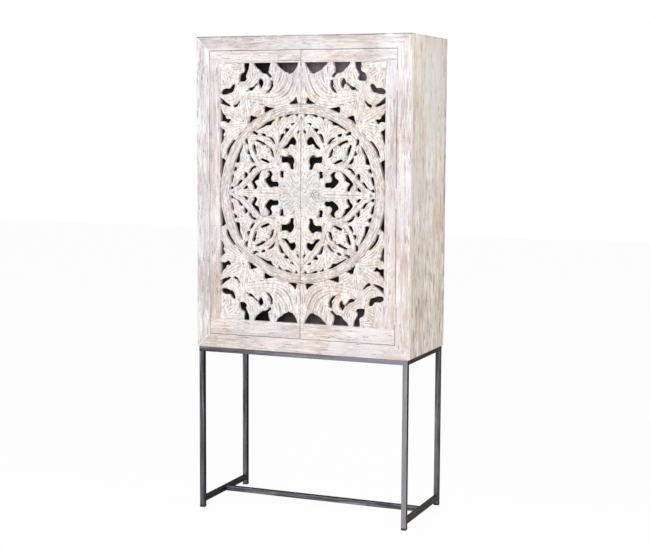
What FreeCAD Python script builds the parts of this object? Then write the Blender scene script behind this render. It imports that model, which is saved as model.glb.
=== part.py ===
import FreeCAD, Part
import math
import os
import Sketcher
from FreeCAD import Placement, Rotation, Vector

# Display cabinet: a whitewashed hardwood case with two carved, pierced doors, on a stand of square tube.
# +X is to the viewer's right, +Y to the back and +Z up.
# The origin is on the floor under the middle of the whole.

doc = FreeCAD.newDocument("display_cabinet")

# Driving sizes in millimetres, plain counts and degrees
drivingSizes = (
    ("caseWidth", 900, "outside width of the wooden case"),
    ("caseDepth", 435, "front face of the frame to the back of the case"),
    ("caseHeight", 1235, "outside height of the wooden case"),
    ("standHeight", 665, "floor to the underside of the case"),
    ("panelThickness", 20, "sides, top and bottom"),
    ("backThickness", 10, "back panel"),
    ("rebateWidth", 10, "step in the sides that takes the back panel"),
    ("frameWidth", 55, "face of each mitred frame member"),
    ("frameThickness", 25, "depth of each mitred frame member"),
    ("softEdge", 0.8, "chamfer on the edges of the wood"),
    ("sideGap", 2.5, "frame to door, at the hinges"),
    ("topGap", 2, "frame to door, above"),
    ("bottomGap", 2, "frame to door, below"),
    ("meetingGap", 2.5, "between the two doors"),
    ("stileWidth", 45, "outer stile of a door"),
    ("topRailWidth", 47, "top rail of a door"),
    ("bottomRailWidth", 60, "bottom rail of a door"),
    ("carvedThickness", 16, "ground of the carved board"),
    ("reliefHeight", 3, "ring, rosettes and buds above the ground"),
    ("ringClearance", 0.5, "carved ring to the stile"),
    ("ringWidth", 37, "width of the carved ring"),
    ("fluteWidth", 6, "each groove round the ring"),
    ("fluteDepth", 2, "each groove round the ring"),
    ("flowerRadius", 90, "round flower in the middle"),
    ("shelfThickness", 20, "shelf board"),
    ("shelfClearance", 0.5, "shelf to the sides and the back"),
    ("shelfSetback", 12, "shelf behind the doors"),
    ("lowerShelfRise", 375, "bottom panel to the top of the lower shelf"),
    ("upperShelfRise", 765, "bottom panel to the top of the upper shelf"),
    ("battenWidth", 18, "batten under a shelf's end"),
    ("battenHeight", 28, "batten under a shelf's end"),
    ("battenSetback", 35, "batten behind the shelf's front edge"),
    ("stopThickness", 18, "strip that the closed doors meet"),
    ("stopLap", 15, "how far the strip hangs below the opening"),
    ("stopClearance", 0.5, "closed door to the strip"),
    ("magnetLength", 30, "catch magnet and its plate"),
    ("magnetHeight", 10, "catch magnet and its plate"),
    ("magnetDepth", 8, "catch magnet"),
    ("strikeThickness", 1, "steel plate on a door"),
    ("catchReach", 60, "catch from the middle of the case"),
    ("hingeLength", 75, "butt hinge along its pin"),
    ("hingeInset", 80, "end hinge from the end of the door"),
    ("leafThickness", 1, "hinge leaf"),
    ("leafWidth", 20, "hinge leaf from the pin to its back edge"),
    ("knuckleRadius", 3.2, "hinge barrel"),
    ("knuckleGap", 0.3, "between knuckles and round them"),
    ("knuckleStandoff", 0.4, "barrel in front of the wood"),
    ("pinRadius", 1.6, "hinge pin"),
    ("pinClearance", 0.05, "hinge pin in its knuckles"),
    ("pinHeadHeight", 1.5, "head of a hinge pin"),
    ("woodScrewRadius", 1.4, "hinge screw"),
    ("woodScrewHead", 2.7, "head radius of a hinge screw"),
    ("woodScrewLength", 15, "hinge screw"),
    ("screwClearance", 0.1, "screw in its hole"),
    ("backScrewRadius", 1.8, "screw through the back panel"),
    ("backScrewHead", 3.8, "head radius of that screw"),
    ("backScrewHeadHeight", 2.4, "head of that screw"),
    ("backScrewLength", 28, "screw through the back panel"),
    ("knobDiameter", 32, "widest part of the knob"),
    ("knobProjection", 30, "knob in front of the door"),
    ("knobBase", 20, "foot of the knob, across"),
    ("knobNeck", 13, "neck of the knob, across"),
    ("knobFootHeight", 5, "foot of the knob"),
    ("knobNeckHeight", 12, "door to the underside of the head"),
    ("knobReach", 63, "knob from the middle of the case"),
    ("knobScrewRadius", 2, "screw that holds the knob"),
    ("knobScrewGrip", 12, "that screw inside the knob"),
    ("knobScrewHead", 4.5, "head radius of that screw"),
    ("knobScrewHeadHeight", 2.8, "head of that screw"),
    ("tubeSide", 20, "square tube of the stand"),
    ("tubeWall", 1.5, "wall of the tube"),
    ("tubeRound", 1.4, "rounded long edges of the tube"),
    ("standInset", 5, "stand inside the case's outline"),
    ("footHeight", 8, "plastic foot below the tube"),
    ("footPlug", 14, "part of the foot inside the tube"),
    ("footClearance", 0.2, "that part to the tube's wall"),
    ("stretcherRise", 22, "floor to the underside of the stretchers"),
    ("tabSide", 30, "steel tab in each corner of the stand"),
    ("tabThickness", 3, "steel tab"),
    ("caseScrewRadius", 2.5, "screw through a tab into the case"),
    ("caseScrewHead", 5, "head radius of that screw"),
    ("caseScrewHeadHeight", 3, "head of that screw"),
    ("caseScrewBite", 14, "that screw in the bottom panel"),
    ("cutOverrun", 2, "how far a cut runs past the solid"),
)
sheet = doc.addObject("Spreadsheet::Sheet", "dim")
for row, (alias, number, note) in enumerate(drivingSizes, start=1):
    sheet.set("A%d" % row, alias)
    sheet.set("B%d" % row, str(number))
    sheet.setAlias("B%d" % row, alias)
    sheet.set("C%d" % row, note)
doc.recompute()

# Sizes and places that follow from the driving ones
fit = doc.addObject("App::FeaturePython", "fit")
fittedSizes = (
    # the case
    ("halfWidth", "dim.caseWidth / 2"),
    ("frontY", "(dim.knobProjection - dim.caseDepth) / 2"),
    ("frameLong", "dim.caseWidth - dim.frameWidth"),
    ("frameTall", "dim.caseHeight - dim.frameWidth"),
    ("backY", "fit.frontY + dim.caseDepth"),
    ("caseTop", "dim.standHeight + dim.caseHeight"),
    ("boxFront", "fit.frontY + dim.frameThickness"),
    ("sideDepth", "dim.caseDepth - dim.frameThickness"),
    ("innerBack", "fit.backY - dim.backThickness"),
    ("levelDepth", "fit.innerBack - fit.boxFront"),
    ("innerHalf", "fit.halfWidth - dim.panelThickness"),
    ("innerWidth", "2 * fit.innerHalf"),
    ("floorTop", "dim.standHeight + dim.panelThickness"),
    ("ceiling", "fit.caseTop - dim.panelThickness"),
    ("backHalf", "fit.innerHalf + dim.rebateWidth"),
    ("backWidth", "2 * fit.backHalf"),
    ("rebateLeft", "dim.panelThickness - dim.rebateWidth"),
    ("rebateFront", "fit.sideDepth - dim.backThickness"),
    # the doors
    ("openingHalf", "fit.halfWidth - dim.frameWidth"),
    ("openingLow", "dim.standHeight + dim.frameWidth"),
    ("openingHigh", "fit.caseTop - dim.frameWidth"),
    ("doorEdge", "fit.openingHalf - dim.sideGap"),
    ("doorMeeting", "dim.meetingGap / 2"),
    ("doorLow", "fit.openingLow + dim.bottomGap"),
    ("doorHigh", "fit.openingHigh - dim.topGap"),
    ("doorThickness", "dim.frameThickness - dim.stopClearance"),
    ("fieldHalf", "fit.doorEdge - dim.stileWidth"),
    ("doorWidth", "fit.doorEdge - fit.doorMeeting"),
    ("fieldLow", "fit.doorLow + dim.bottomRailWidth"),
    ("fieldHigh", "fit.doorHigh - dim.topRailWidth"),
    ("fieldHeight", "fit.fieldHigh - fit.fieldLow"),
    ("fieldHalfHeight", "fit.fieldHeight / 2"),
    ("carvingZ", "(fit.fieldLow + fit.fieldHigh) / 2"),
    ("ringOuter", "fit.fieldHalf - dim.ringClearance"),
    ("ringInner", "fit.ringOuter - dim.ringWidth"),
    ("fluteOuterHigh", "fit.ringOuter - dim.ringWidth / 3 + dim.fluteWidth / 2"),
    ("fluteOuterLow", "fit.fluteOuterHigh - dim.fluteWidth"),
    ("fluteInnerHigh", "fit.ringInner + dim.ringWidth / 3 + dim.fluteWidth / 2"),
    ("fluteInnerLow", "fit.fluteInnerHigh - dim.fluteWidth"),
    ("carvedBack", "dim.reliefHeight + dim.carvedThickness"),
    ("pierceDepth", "2 * (fit.carvedBack + dim.cutOverrun)"),
    # shelves
    ("shelfFront", "fit.frontY + fit.doorThickness + dim.shelfSetback"),
    ("shelfDepth", "fit.innerBack - dim.shelfClearance - fit.shelfFront"),
    ("shelfWidth", "fit.innerWidth - 2 * dim.shelfClearance"),
    ("shelfLeft", "-fit.shelfWidth / 2"),
    ("lowerShelfZ", "fit.floorTop + dim.lowerShelfRise - dim.shelfThickness"),
    ("upperShelfZ", "fit.floorTop + dim.upperShelfRise - dim.shelfThickness"),
    ("battenFront", "fit.shelfFront + dim.battenSetback"),
    ("battenLength", "fit.shelfDepth - dim.battenSetback"),
    # stop and catches
    ("stopLow", "fit.openingHigh - dim.stopLap"),
    ("stopHeight", "fit.ceiling - fit.stopLow"),
    ("doorBack", "fit.frontY + fit.doorThickness"),
    ("strikeY", "fit.doorBack - dim.strikeThickness"),
    ("catchZ", "(fit.doorHigh + fit.stopLow - dim.magnetHeight) / 2"),
    # hinges
    ("pinX", "fit.openingHalf - dim.sideGap / 2"),
    ("pinY", "fit.frontY - dim.knuckleRadius - dim.knuckleStandoff"),
    ("hingeTopLow", "fit.doorHigh - dim.hingeInset - dim.hingeLength"),
    ("hingeMiddleLow", "(fit.doorLow + fit.doorHigh - dim.hingeLength) / 2"),
    ("hingeBottomLow", "fit.doorLow + dim.hingeInset"),
    ("knucklePitch", "dim.hingeLength / 5"),
    ("knuckleHeight", "fit.knucklePitch - dim.knuckleGap"),
    ("knuckleRelief", "fit.knucklePitch + dim.knuckleGap"),
    ("reliefRadius", "dim.knuckleRadius + dim.knuckleGap"),
    ("pinBore", "dim.pinRadius + dim.pinClearance"),
    ("leafReach", "fit.frontY + dim.leafWidth - fit.pinY"),
    # stand
    ("halfTube", "dim.tubeSide / 2"),
    ("tubeInside", "dim.tubeSide - 2 * dim.tubeWall"),
    ("insideHalf", "fit.tubeInside / 2"),
    ("standHalf", "fit.halfWidth - dim.standInset"),
    ("standWidth", "2 * fit.standHalf"),
    ("standFront", "fit.frontY + dim.standInset"),
    ("standBack", "fit.backY - dim.standInset"),
    ("standDepth", "fit.standBack - fit.standFront"),
    ("standWidthShort", "fit.standWidth - dim.tubeSide"),
    ("standDepthShort", "fit.standDepth - dim.tubeSide"),
    ("railZ", "dim.standHeight - fit.halfTube"),
    ("legX", "fit.standHalf - fit.halfTube"),
    ("legFrontY", "fit.standFront + fit.halfTube"),
    ("legBackY", "fit.standBack - fit.halfTube"),
    ("legLength", "dim.standHeight - dim.tubeSide - dim.footHeight"),
    ("stretcherZ", "dim.stretcherRise + fit.halfTube"),
    ("stretcherFront", "fit.standFront + dim.tubeSide"),
    ("stretcherLength", "fit.standDepth - 2 * dim.tubeSide"),
    ("crossLeft", "dim.tubeSide - fit.standHalf"),
    ("crossLength", "fit.standWidth - 2 * dim.tubeSide"),
    ("crossY", "(fit.standFront + fit.standBack) / 2"),
    ("plugSide", "fit.tubeInside - 2 * dim.footClearance"),
    ("tabX", "fit.standHalf - dim.tubeSide - dim.tabSide / 2"),
    ("tabFrontY", "fit.standFront + dim.tubeSide + dim.tabSide / 2"),
    ("tabBackY", "fit.standBack - dim.tubeSide - dim.tabSide / 2"),
    ("tabZ", "dim.standHeight - dim.tabThickness"),
    ("caseScrewHole", "dim.caseScrewRadius + dim.screwClearance"),
)
for name, formula in fittedSizes:
    fit.addProperty("App::PropertyFloat", name)
    fit.setExpression(name, formula)
doc.recompute()


def ref(name):
    # the way an expression names a size; a leading minus is kept
    sign, word = ("-", name[1:]) if name.startswith("-") else ("", name)
    return sign + ("fit." if word in fit.PropertiesList else "dim.") + word


def size(name):
    # the same size as a plain number
    if name.startswith("-"):
        return -size(name[1:])
    return float(getattr(fit, name)) if name in fit.PropertiesList else float(sheet.get(name))


def bind(thing, **texts):
    for name, text in texts.items():
        thing.setExpression(name, text)


def place(thing, x=None, y=None, z=None):
    for axis, text in (("x", x), ("y", y), ("z", z)):
        if text:
            thing.setExpression("Placement.Base." + axis, text)


def newBody(label):
    body = doc.addObject("PartDesign::Body", label)
    body.Label = label
    return body


def newSketch(body, name, role, lift=None):
    # a sketch on one of the body's own origin planes, lifted along the plane's normal
    sketch = body.newObject("Sketcher::SketchObject", name)
    plane = next(p for p in body.Origin.OriginFeatures if p.Role == role)
    sketch.AttachmentSupport = (plane, [""])
    sketch.MapMode = "FlatFace"
    if lift:
        sketch.setExpression("AttachmentOffset.Base.z", lift)
    return sketch


def measure(sketch, kind, first, second, name):
    # a dimension between two sketch points, bound to a size
    index = sketch.addConstraint(Sketcher.Constraint(kind, *first, *second, size(name)))
    sketch.setExpression("Constraints[%d]" % index, ref(name))


def loop(sketch, corners):
    # closed straight outline; each corner is a pair of size names or None for zero
    start = sketch.GeometryCount
    count = len(corners)
    places = [Vector(*(size(name) if name else 0 for name in corner), 0) for corner in corners]
    sketch.addGeometry([Part.LineSegment(places[k], places[(k + 1) % count]) for k in range(count)], False)
    for k, (across, up) in enumerate(corners):
        sketch.addConstraint(Sketcher.Constraint("Coincident", start + k, 2, start + (k + 1) % count, 1))
        for kind, name in (("DistanceX", across), ("DistanceY", up)):
            if name:
                measure(sketch, kind, (-1, 1), (start + k, 1), name)
            else:
                straight = "Vertical" if kind == "DistanceX" else "Horizontal"
                sketch.addConstraint(Sketcher.Constraint(straight, -1, 1, start + k, 1))


def pad(body, sketch, length, reverse=False):
    feature = body.newObject("PartDesign::Pad", sketch.Name + "_pad")
    feature.Profile = sketch
    feature.Reversed = reverse
    feature.setExpression("Length", length)
    return feature


def pocket(body, sketch, length, reverse=False, bothWays=False):
    feature = body.newObject("PartDesign::Pocket", sketch.Name + "_cut")
    feature.Profile = sketch
    feature.Reversed = reverse
    feature.Midplane = bothWays
    feature.setExpression("Length", length)
    return feature


def soften(body):
    # the small chamfer that takes the sharpness off every edge of a board
    doc.recompute()
    feature = body.newObject("PartDesign::Chamfer", body.Name + "_edges")
    feature.Base = (body.Group[-2], ["Edge1"])
    feature.UseAllEdges = True
    feature.setExpression("Size", "dim.softEdge")
    return feature


def board(label, sizes, x, y, z):
    # rectangular board: its three sizes along X, Y and Z, and the place of its low corner
    body = newBody(label)
    sketch = newSketch(body, label + "_face", "XY_Plane")
    loop(sketch, ((None, None), (sizes[0], None), (sizes[0], sizes[1]), (None, sizes[1])))
    pad(body, sketch, ref(sizes[2]))
    soften(body)
    place(body, x, y, z)
    return body


def box(label, sizes, x, y, z):
    piece = doc.addObject("Part::Box", label)
    bind(piece, Length=sizes[0], Width=sizes[1], Height=sizes[2])
    place(piece, x, y, z)
    return piece


def cylinder(label, radius, height, x, y, z):
    piece = doc.addObject("Part::Cylinder", label)
    bind(piece, Radius=radius, Height=height)
    place(piece, x, y, z)
    return piece


def cut(label, base, tool):
    piece = doc.addObject("Part::Cut", label)
    piece.Base = base
    piece.Tool = tool
    piece.Label = label
    return piece


def joined(label, pieces):
    piece = doc.addObject("Part::MultiFuse", label)
    piece.Shapes = pieces
    piece.Label = label
    return piece


def group(label, pieces):
    # identical separate solids under one name
    piece = doc.addObject("Part::Compound", label)
    piece.Links = pieces
    piece.Label = label
    return piece


def shaped(label, shape):
    piece = doc.addObject("Part::Feature", label)
    piece.Shape = shape
    piece.Label = label
    return piece


parts = []

# Stand: square steel tube
upright = Vector(0, 0, 1)
rightward = Vector(1, 0, 0)
backward = Vector(0, 1, 0)


def square(sketch, half):
    loop(sketch, (("-" + half, "-" + half), (half, "-" + half), (half, half), ("-" + half, half)))


def tube(label, length, along, inward, x, y, z, short=None):
    # hollow square tube: its own Z runs along it and its own X points inward; a short side mitres both ends
    body = newBody(label)
    section = newSketch(body, label + "_section", "XY_Plane")
    square(section, "halfTube")
    solid = pad(body, section, ref(length))
    doc.recompute()
    rounded = body.newObject("PartDesign::Fillet", label + "_round")
    lengthwise = [
        "Edge%d" % number for number, edge in enumerate(solid.Shape.Edges, start=1)
        if edge.Vertexes[0].Point.sub(edge.Vertexes[1].Point).cross(upright).Length < size("tubeRound")
    ]
    rounded.Base = (solid, lengthwise)
    rounded.setExpression("Radius", "dim.tubeRound")
    bore = newSketch(body, label + "_bore", "XY_Plane")
    square(bore, "insideHalf")
    pocket(body, bore, ref(length), reverse=True)
    if short:
        mitres = newSketch(body, label + "_mitres", "XZ_Plane")
        loop(mitres, (("-halfTube", None), ("halfTube", None), ("halfTube", "tubeSide")))
        loop(mitres, (("-halfTube", length), ("halfTube", length), ("halfTube", short)))
        pocket(body, mitres, "2 * dim.tubeSide", bothWays=True)
    body.Placement = Placement(Vector(), Rotation(inward, along.cross(inward), along, "ZXY"))
    place(body, x, y, z)
    parts.append(body)


for end, inward, legY in (("front", backward, "fit.legFrontY"), ("back", -backward, "fit.legBackY")):
    tube("stand_rail_" + end, "standWidth", rightward, inward,
         "-fit.standHalf", legY, "fit.railZ", "standWidthShort")
feet = []
tabs = []
for side, sign, inward in (("left", "-", rightward), ("right", "", -rightward)):
    legX = sign + "fit.legX"
    tube("stand_rail_" + side, "standDepth", backward, inward,
         legX, "fit.standFront", "fit.railZ", "standDepthShort")
    tube("stand_stretcher_" + side, "stretcherLength", backward, inward,
         legX, "fit.stretcherFront", "fit.stretcherZ")
    for end in ("front", "back"):
        legY = "fit.leg%sY" % end.capitalize()
        tabY = "fit.tab%sY" % end.capitalize()
        tube("stand_leg_%s_%s" % (end, side), "legLength", upright, inward, legX, legY, "dim.footHeight")
        mark = "_%s_%s" % (end, side)
        # plastic foot: a pad as wide as the tube and a plug inside it
        sole = box("foot_sole" + mark, ("dim.tubeSide", "dim.tubeSide", "dim.footHeight"),
                   legX + " - fit.halfTube", legY + " - fit.halfTube", None)
        plug = box("foot_plug" + mark, ("fit.plugSide", "fit.plugSide", "dim.footHeight + dim.footPlug"),
                   legX + " - fit.plugSide / 2", legY + " - fit.plugSide / 2", None)
        feet.append(joined("foot" + mark, [sole, plug]))
        # steel tab in the corner under the case, with a screw hole
        plate = box("tab_plate" + mark, ("dim.tabSide", "dim.tabSide", "dim.tabThickness"),
                    sign + "fit.tabX - dim.tabSide / 2", tabY + " - dim.tabSide / 2", "fit.tabZ")
        hole = cylinder("tab_hole" + mark, "fit.caseScrewHole", "2 * dim.tabThickness",
                        sign + "fit.tabX", tabY, "fit.tabZ - dim.tabThickness / 2")
        tabs.append(cut("tab" + mark, plate, hole))
tube("stand_cross_stretcher", "crossLength", rightward, backward,
     "fit.crossLeft", "fit.crossY", "fit.stretcherZ")
parts.append(group("foot_caps", feet))
parts.append(group("stand_fixing_tabs", tabs))


# Screws: a shank and a head, pointing from the head's place along a direction
def screw(radius, head, headHeight, length, point, direction, spare=0):
    # countersunk screw whose head's flat is at the point; spare widens it to make its own hole
    top = Part.makeCone(head + spare, radius + spare, headHeight, point, direction)
    shank = Part.makeCylinder(radius + spare, length, point, direction)
    return top.fuse(shank).removeSplitter()


def panScrew(radius, head, headHeight, length, point, direction, spare=0):
    # screw whose round head lies outside the point that it bears on
    shank = Part.makeCylinder(radius + spare, length, point, direction)
    cap = Part.makeCylinder(head, headHeight, point - direction * headHeight, direction)
    return shank if spare else cap.fuse(shank).removeSplitter()


tabPlaces = [
    Vector(x * size("tabX"), size(y), size("tabZ"))
    for x in (-1, 1)
    for y in ("tabFrontY", "tabBackY")
]
spare = size("screwClearance")
caseScrewSizes = [size(name) for name in ("caseScrewRadius", "caseScrewHead", "caseScrewHeadHeight")]
caseScrewLength = size("tabThickness") + size("caseScrewBite")
parts.append(shaped("stand_fixing_screws", Part.makeCompound(
    [panScrew(*caseScrewSizes, caseScrewLength, point, upright) for point in tabPlaces])))
caseBoreLength = caseScrewLength + size("cutOverrun")
caseBores = shaped("case_screw_bores", Part.makeCompound(
    [panScrew(*caseScrewSizes, caseBoreLength, point, upright, spare) for point in tabPlaces]))


# Case: solid boards
def backScrewPlaces():
    # down both sides and along the top and bottom, in the middle of each edge that carries the back
    sideX = size("backHalf") - size("rebateWidth") / 2
    high = size("caseTop") - size("panelThickness") / 2
    low = size("standHeight") + size("panelThickness") / 2
    rows = 5
    columns = 3
    upPitch = (high - low) / (rows + 1)
    acrossPitch = 2 * sideX / (columns + 1)
    sides = [(x * sideX, low + upPitch * (k + 1)) for x in (-1, 1) for k in range(rows)]
    ends = [(acrossPitch * (k + 1) - sideX, z) for z in (low, high) for k in range(columns)]
    return [Vector(x, size("backY"), z) for x, z in sides + ends]


backScrewSizes = [size("backScrew" + name) for name in ("Radius", "Head", "HeadHeight", "Length")]
parts.append(shaped("back_panel_screws", Part.makeCompound(
    [screw(*backScrewSizes, point, -backward) for point in backScrewPlaces()])))
backBores = shaped("back_screw_bores", Part.makeCompound(
    [screw(*backScrewSizes, point, -backward, spare) for point in backScrewPlaces()]))

for side, sideX, rebateX in (("left", "-fit.halfWidth", "rebateLeft"), ("right", "fit.innerHalf", None)):
    blank = board("side_blank_" + side, ("panelThickness", "sideDepth", "caseHeight"),
                  sideX, "fit.boxFront", "dim.standHeight")
    rebate = newSketch(blank, "side_rebate_" + side, "XY_Plane")
    near = rebateX
    far = "panelThickness" if rebateX else "rebateWidth"
    loop(rebate, ((near, "rebateFront"), (far, "rebateFront"), (far, "sideDepth"), (near, "sideDepth")))
    pocket(blank, rebate, "dim.caseHeight", reverse=True)
    parts.append(cut("side_panel_" + side, blank, backBores))
topBlank = board("top_blank", ("innerWidth", "levelDepth", "panelThickness"),
                 "-fit.innerHalf", "fit.boxFront", "fit.ceiling")
parts.append(cut("top_panel", topBlank, backBores))
bottomBlank = board("bottom_blank", ("innerWidth", "levelDepth", "panelThickness"),
                    "-fit.innerHalf", "fit.boxFront", "dim.standHeight")
parts.append(cut("bottom_panel", cut("bottom_drilled", bottomBlank, backBores), caseBores))
backBlank = board("back_blank", ("backWidth", "backThickness", "caseHeight"),
                  "-fit.backHalf", "fit.innerBack", "dim.standHeight")
parts.append(cut("back_panel", backBlank, backBores))

for level in ("lower", "upper"):
    shelfZ = "fit.%sShelfZ" % level
    parts.append(board(level + "_shelf", ("shelfWidth", "shelfDepth", "shelfThickness"),
                       "fit.shelfLeft", "fit.shelfFront", shelfZ))
    battens = []
    for side, battenX in (("left", "-fit.innerHalf"), ("right", "fit.innerHalf - dim.battenWidth")):
        battens.append(box("%s_batten_%s" % (level, side),
                           ("dim.battenWidth", "fit.battenLength", "dim.battenHeight"),
                           battenX, "fit.battenFront", shelfZ + " - dim.battenHeight"))
    parts.append(group(level + "_shelf_battens", battens))

# Strip behind the doors' top rails, with a magnet let in for each door
stopBlank = board("stop_blank", ("innerWidth", "stopThickness", "stopHeight"),
                  "-fit.innerHalf", "fit.boxFront", "fit.stopLow")
magnets = []
strikes = {}
for side, catchX in (("left", "-dim.catchReach"), ("right", "dim.catchReach")):
    corner = catchX + " - dim.magnetLength / 2"
    magnets.append(box("magnet_" + side,
                       ("dim.magnetLength", "dim.magnetDepth", "dim.magnetHeight"),
                       corner, "fit.boxFront", "fit.catchZ"))
    strikes[side] = box("%s_door_strike" % side,
                        ("dim.magnetLength", "dim.strikeThickness", "dim.magnetHeight"),
                        corner, "fit.strikeY", "fit.catchZ")
    parts.append(strikes[side])
catches = group("catch_magnets", magnets)
parts.append(catches)
parts.append(cut("door_stop", stopBlank, catches))


# Hinge screws: three through each leaf, into the frame on one side of the pin and the door on the other
def hingeScrewPlaces(side, toFrame):
    sign = 1 if side == "right" else -1
    outward = Vector(sign if toFrame else -sign, 0, 0)
    leaf = size("leafThickness")
    faceX = size("openingHalf") - leaf if toFrame else size("doorEdge") + leaf
    depth = size("frontY") + size("leafWidth") / 2
    perLeaf = 3
    pitch = size("hingeLength") / perLeaf
    places = []
    for low in ("hingeTopLow", "hingeMiddleLow", "hingeBottomLow"):
        for k in range(perLeaf):
            places.append((Vector(sign * faceX, depth, size(low) + pitch * (k + 1) - pitch / 2), outward))
    return places


def hingeScrews(side, toFrame, spare=0):
    names = ("woodScrewRadius", "woodScrewHead", "leafThickness", "woodScrewLength")
    sizes = [size(name) for name in names]
    return [screw(*sizes, point, outward, spare) for point, outward in hingeScrewPlaces(side, toFrame)]


frameScrews = hingeScrews("left", True) + hingeScrews("right", True)
parts.append(shaped("frame_hinge_screws", Part.makeCompound(frameScrews)))
bores = {}
for side in ("left", "right"):
    parts.append(shaped("%s_door_hinge_screws" % side, Part.makeCompound(hingeScrews(side, False))))
    for toFrame, name in ((True, "frame"), (False, "door")):
        holes = Part.makeCompound(hingeScrews(side, toFrame, spare))
        bores[side, name] = shaped("%s_%s_bores" % (side, name), holes)


# Face frame: four members mitred at the corners
def frameMember(label, length, shortEnd, turn, x, z):
    body = newBody(label)
    face = newSketch(body, label + "_face", "XZ_Plane")
    loop(face, ((None, None), (length, None), (shortEnd, "frameWidth"), ("frameWidth", "frameWidth")))
    pad(body, face, "dim.frameThickness", reverse=True)
    soften(body)
    body.Placement = Placement(Vector(), Rotation(backward, turn))
    place(body, x, "fit.frontY", z)
    return body


quarterTurn = 90
parts.append(frameMember("face_frame_bottom", "caseWidth", "frameLong", 0,
                         "-fit.halfWidth", "dim.standHeight"))
parts.append(frameMember("face_frame_top", "caseWidth", "frameLong", 2 * quarterTurn,
                         "fit.halfWidth", "fit.caseTop"))
leftMember = frameMember("left_member", "caseHeight", "frameTall", quarterTurn,
                         "-fit.halfWidth", "fit.caseTop")
rightMember = frameMember("right_member", "caseHeight", "frameTall", -quarterTurn,
                          "fit.halfWidth", "dim.standHeight")
parts.append(cut("face_frame_left", leftMember, bores["left", "frame"]))
parts.append(cut("face_frame_right", rightMember, bores["right", "frame"]))

# Openings of the carving, drawn on the carver's grid of squares for the upper right quarter.
# Each outline's corners are squares across and up from the middle of the two doors.
# The curve runs smoothly between them.
gridShare = {"ringAcross": 34.3, "ringUp": 35.1, "fieldUp": 50.7, "innerUp": 30.3}
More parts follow.
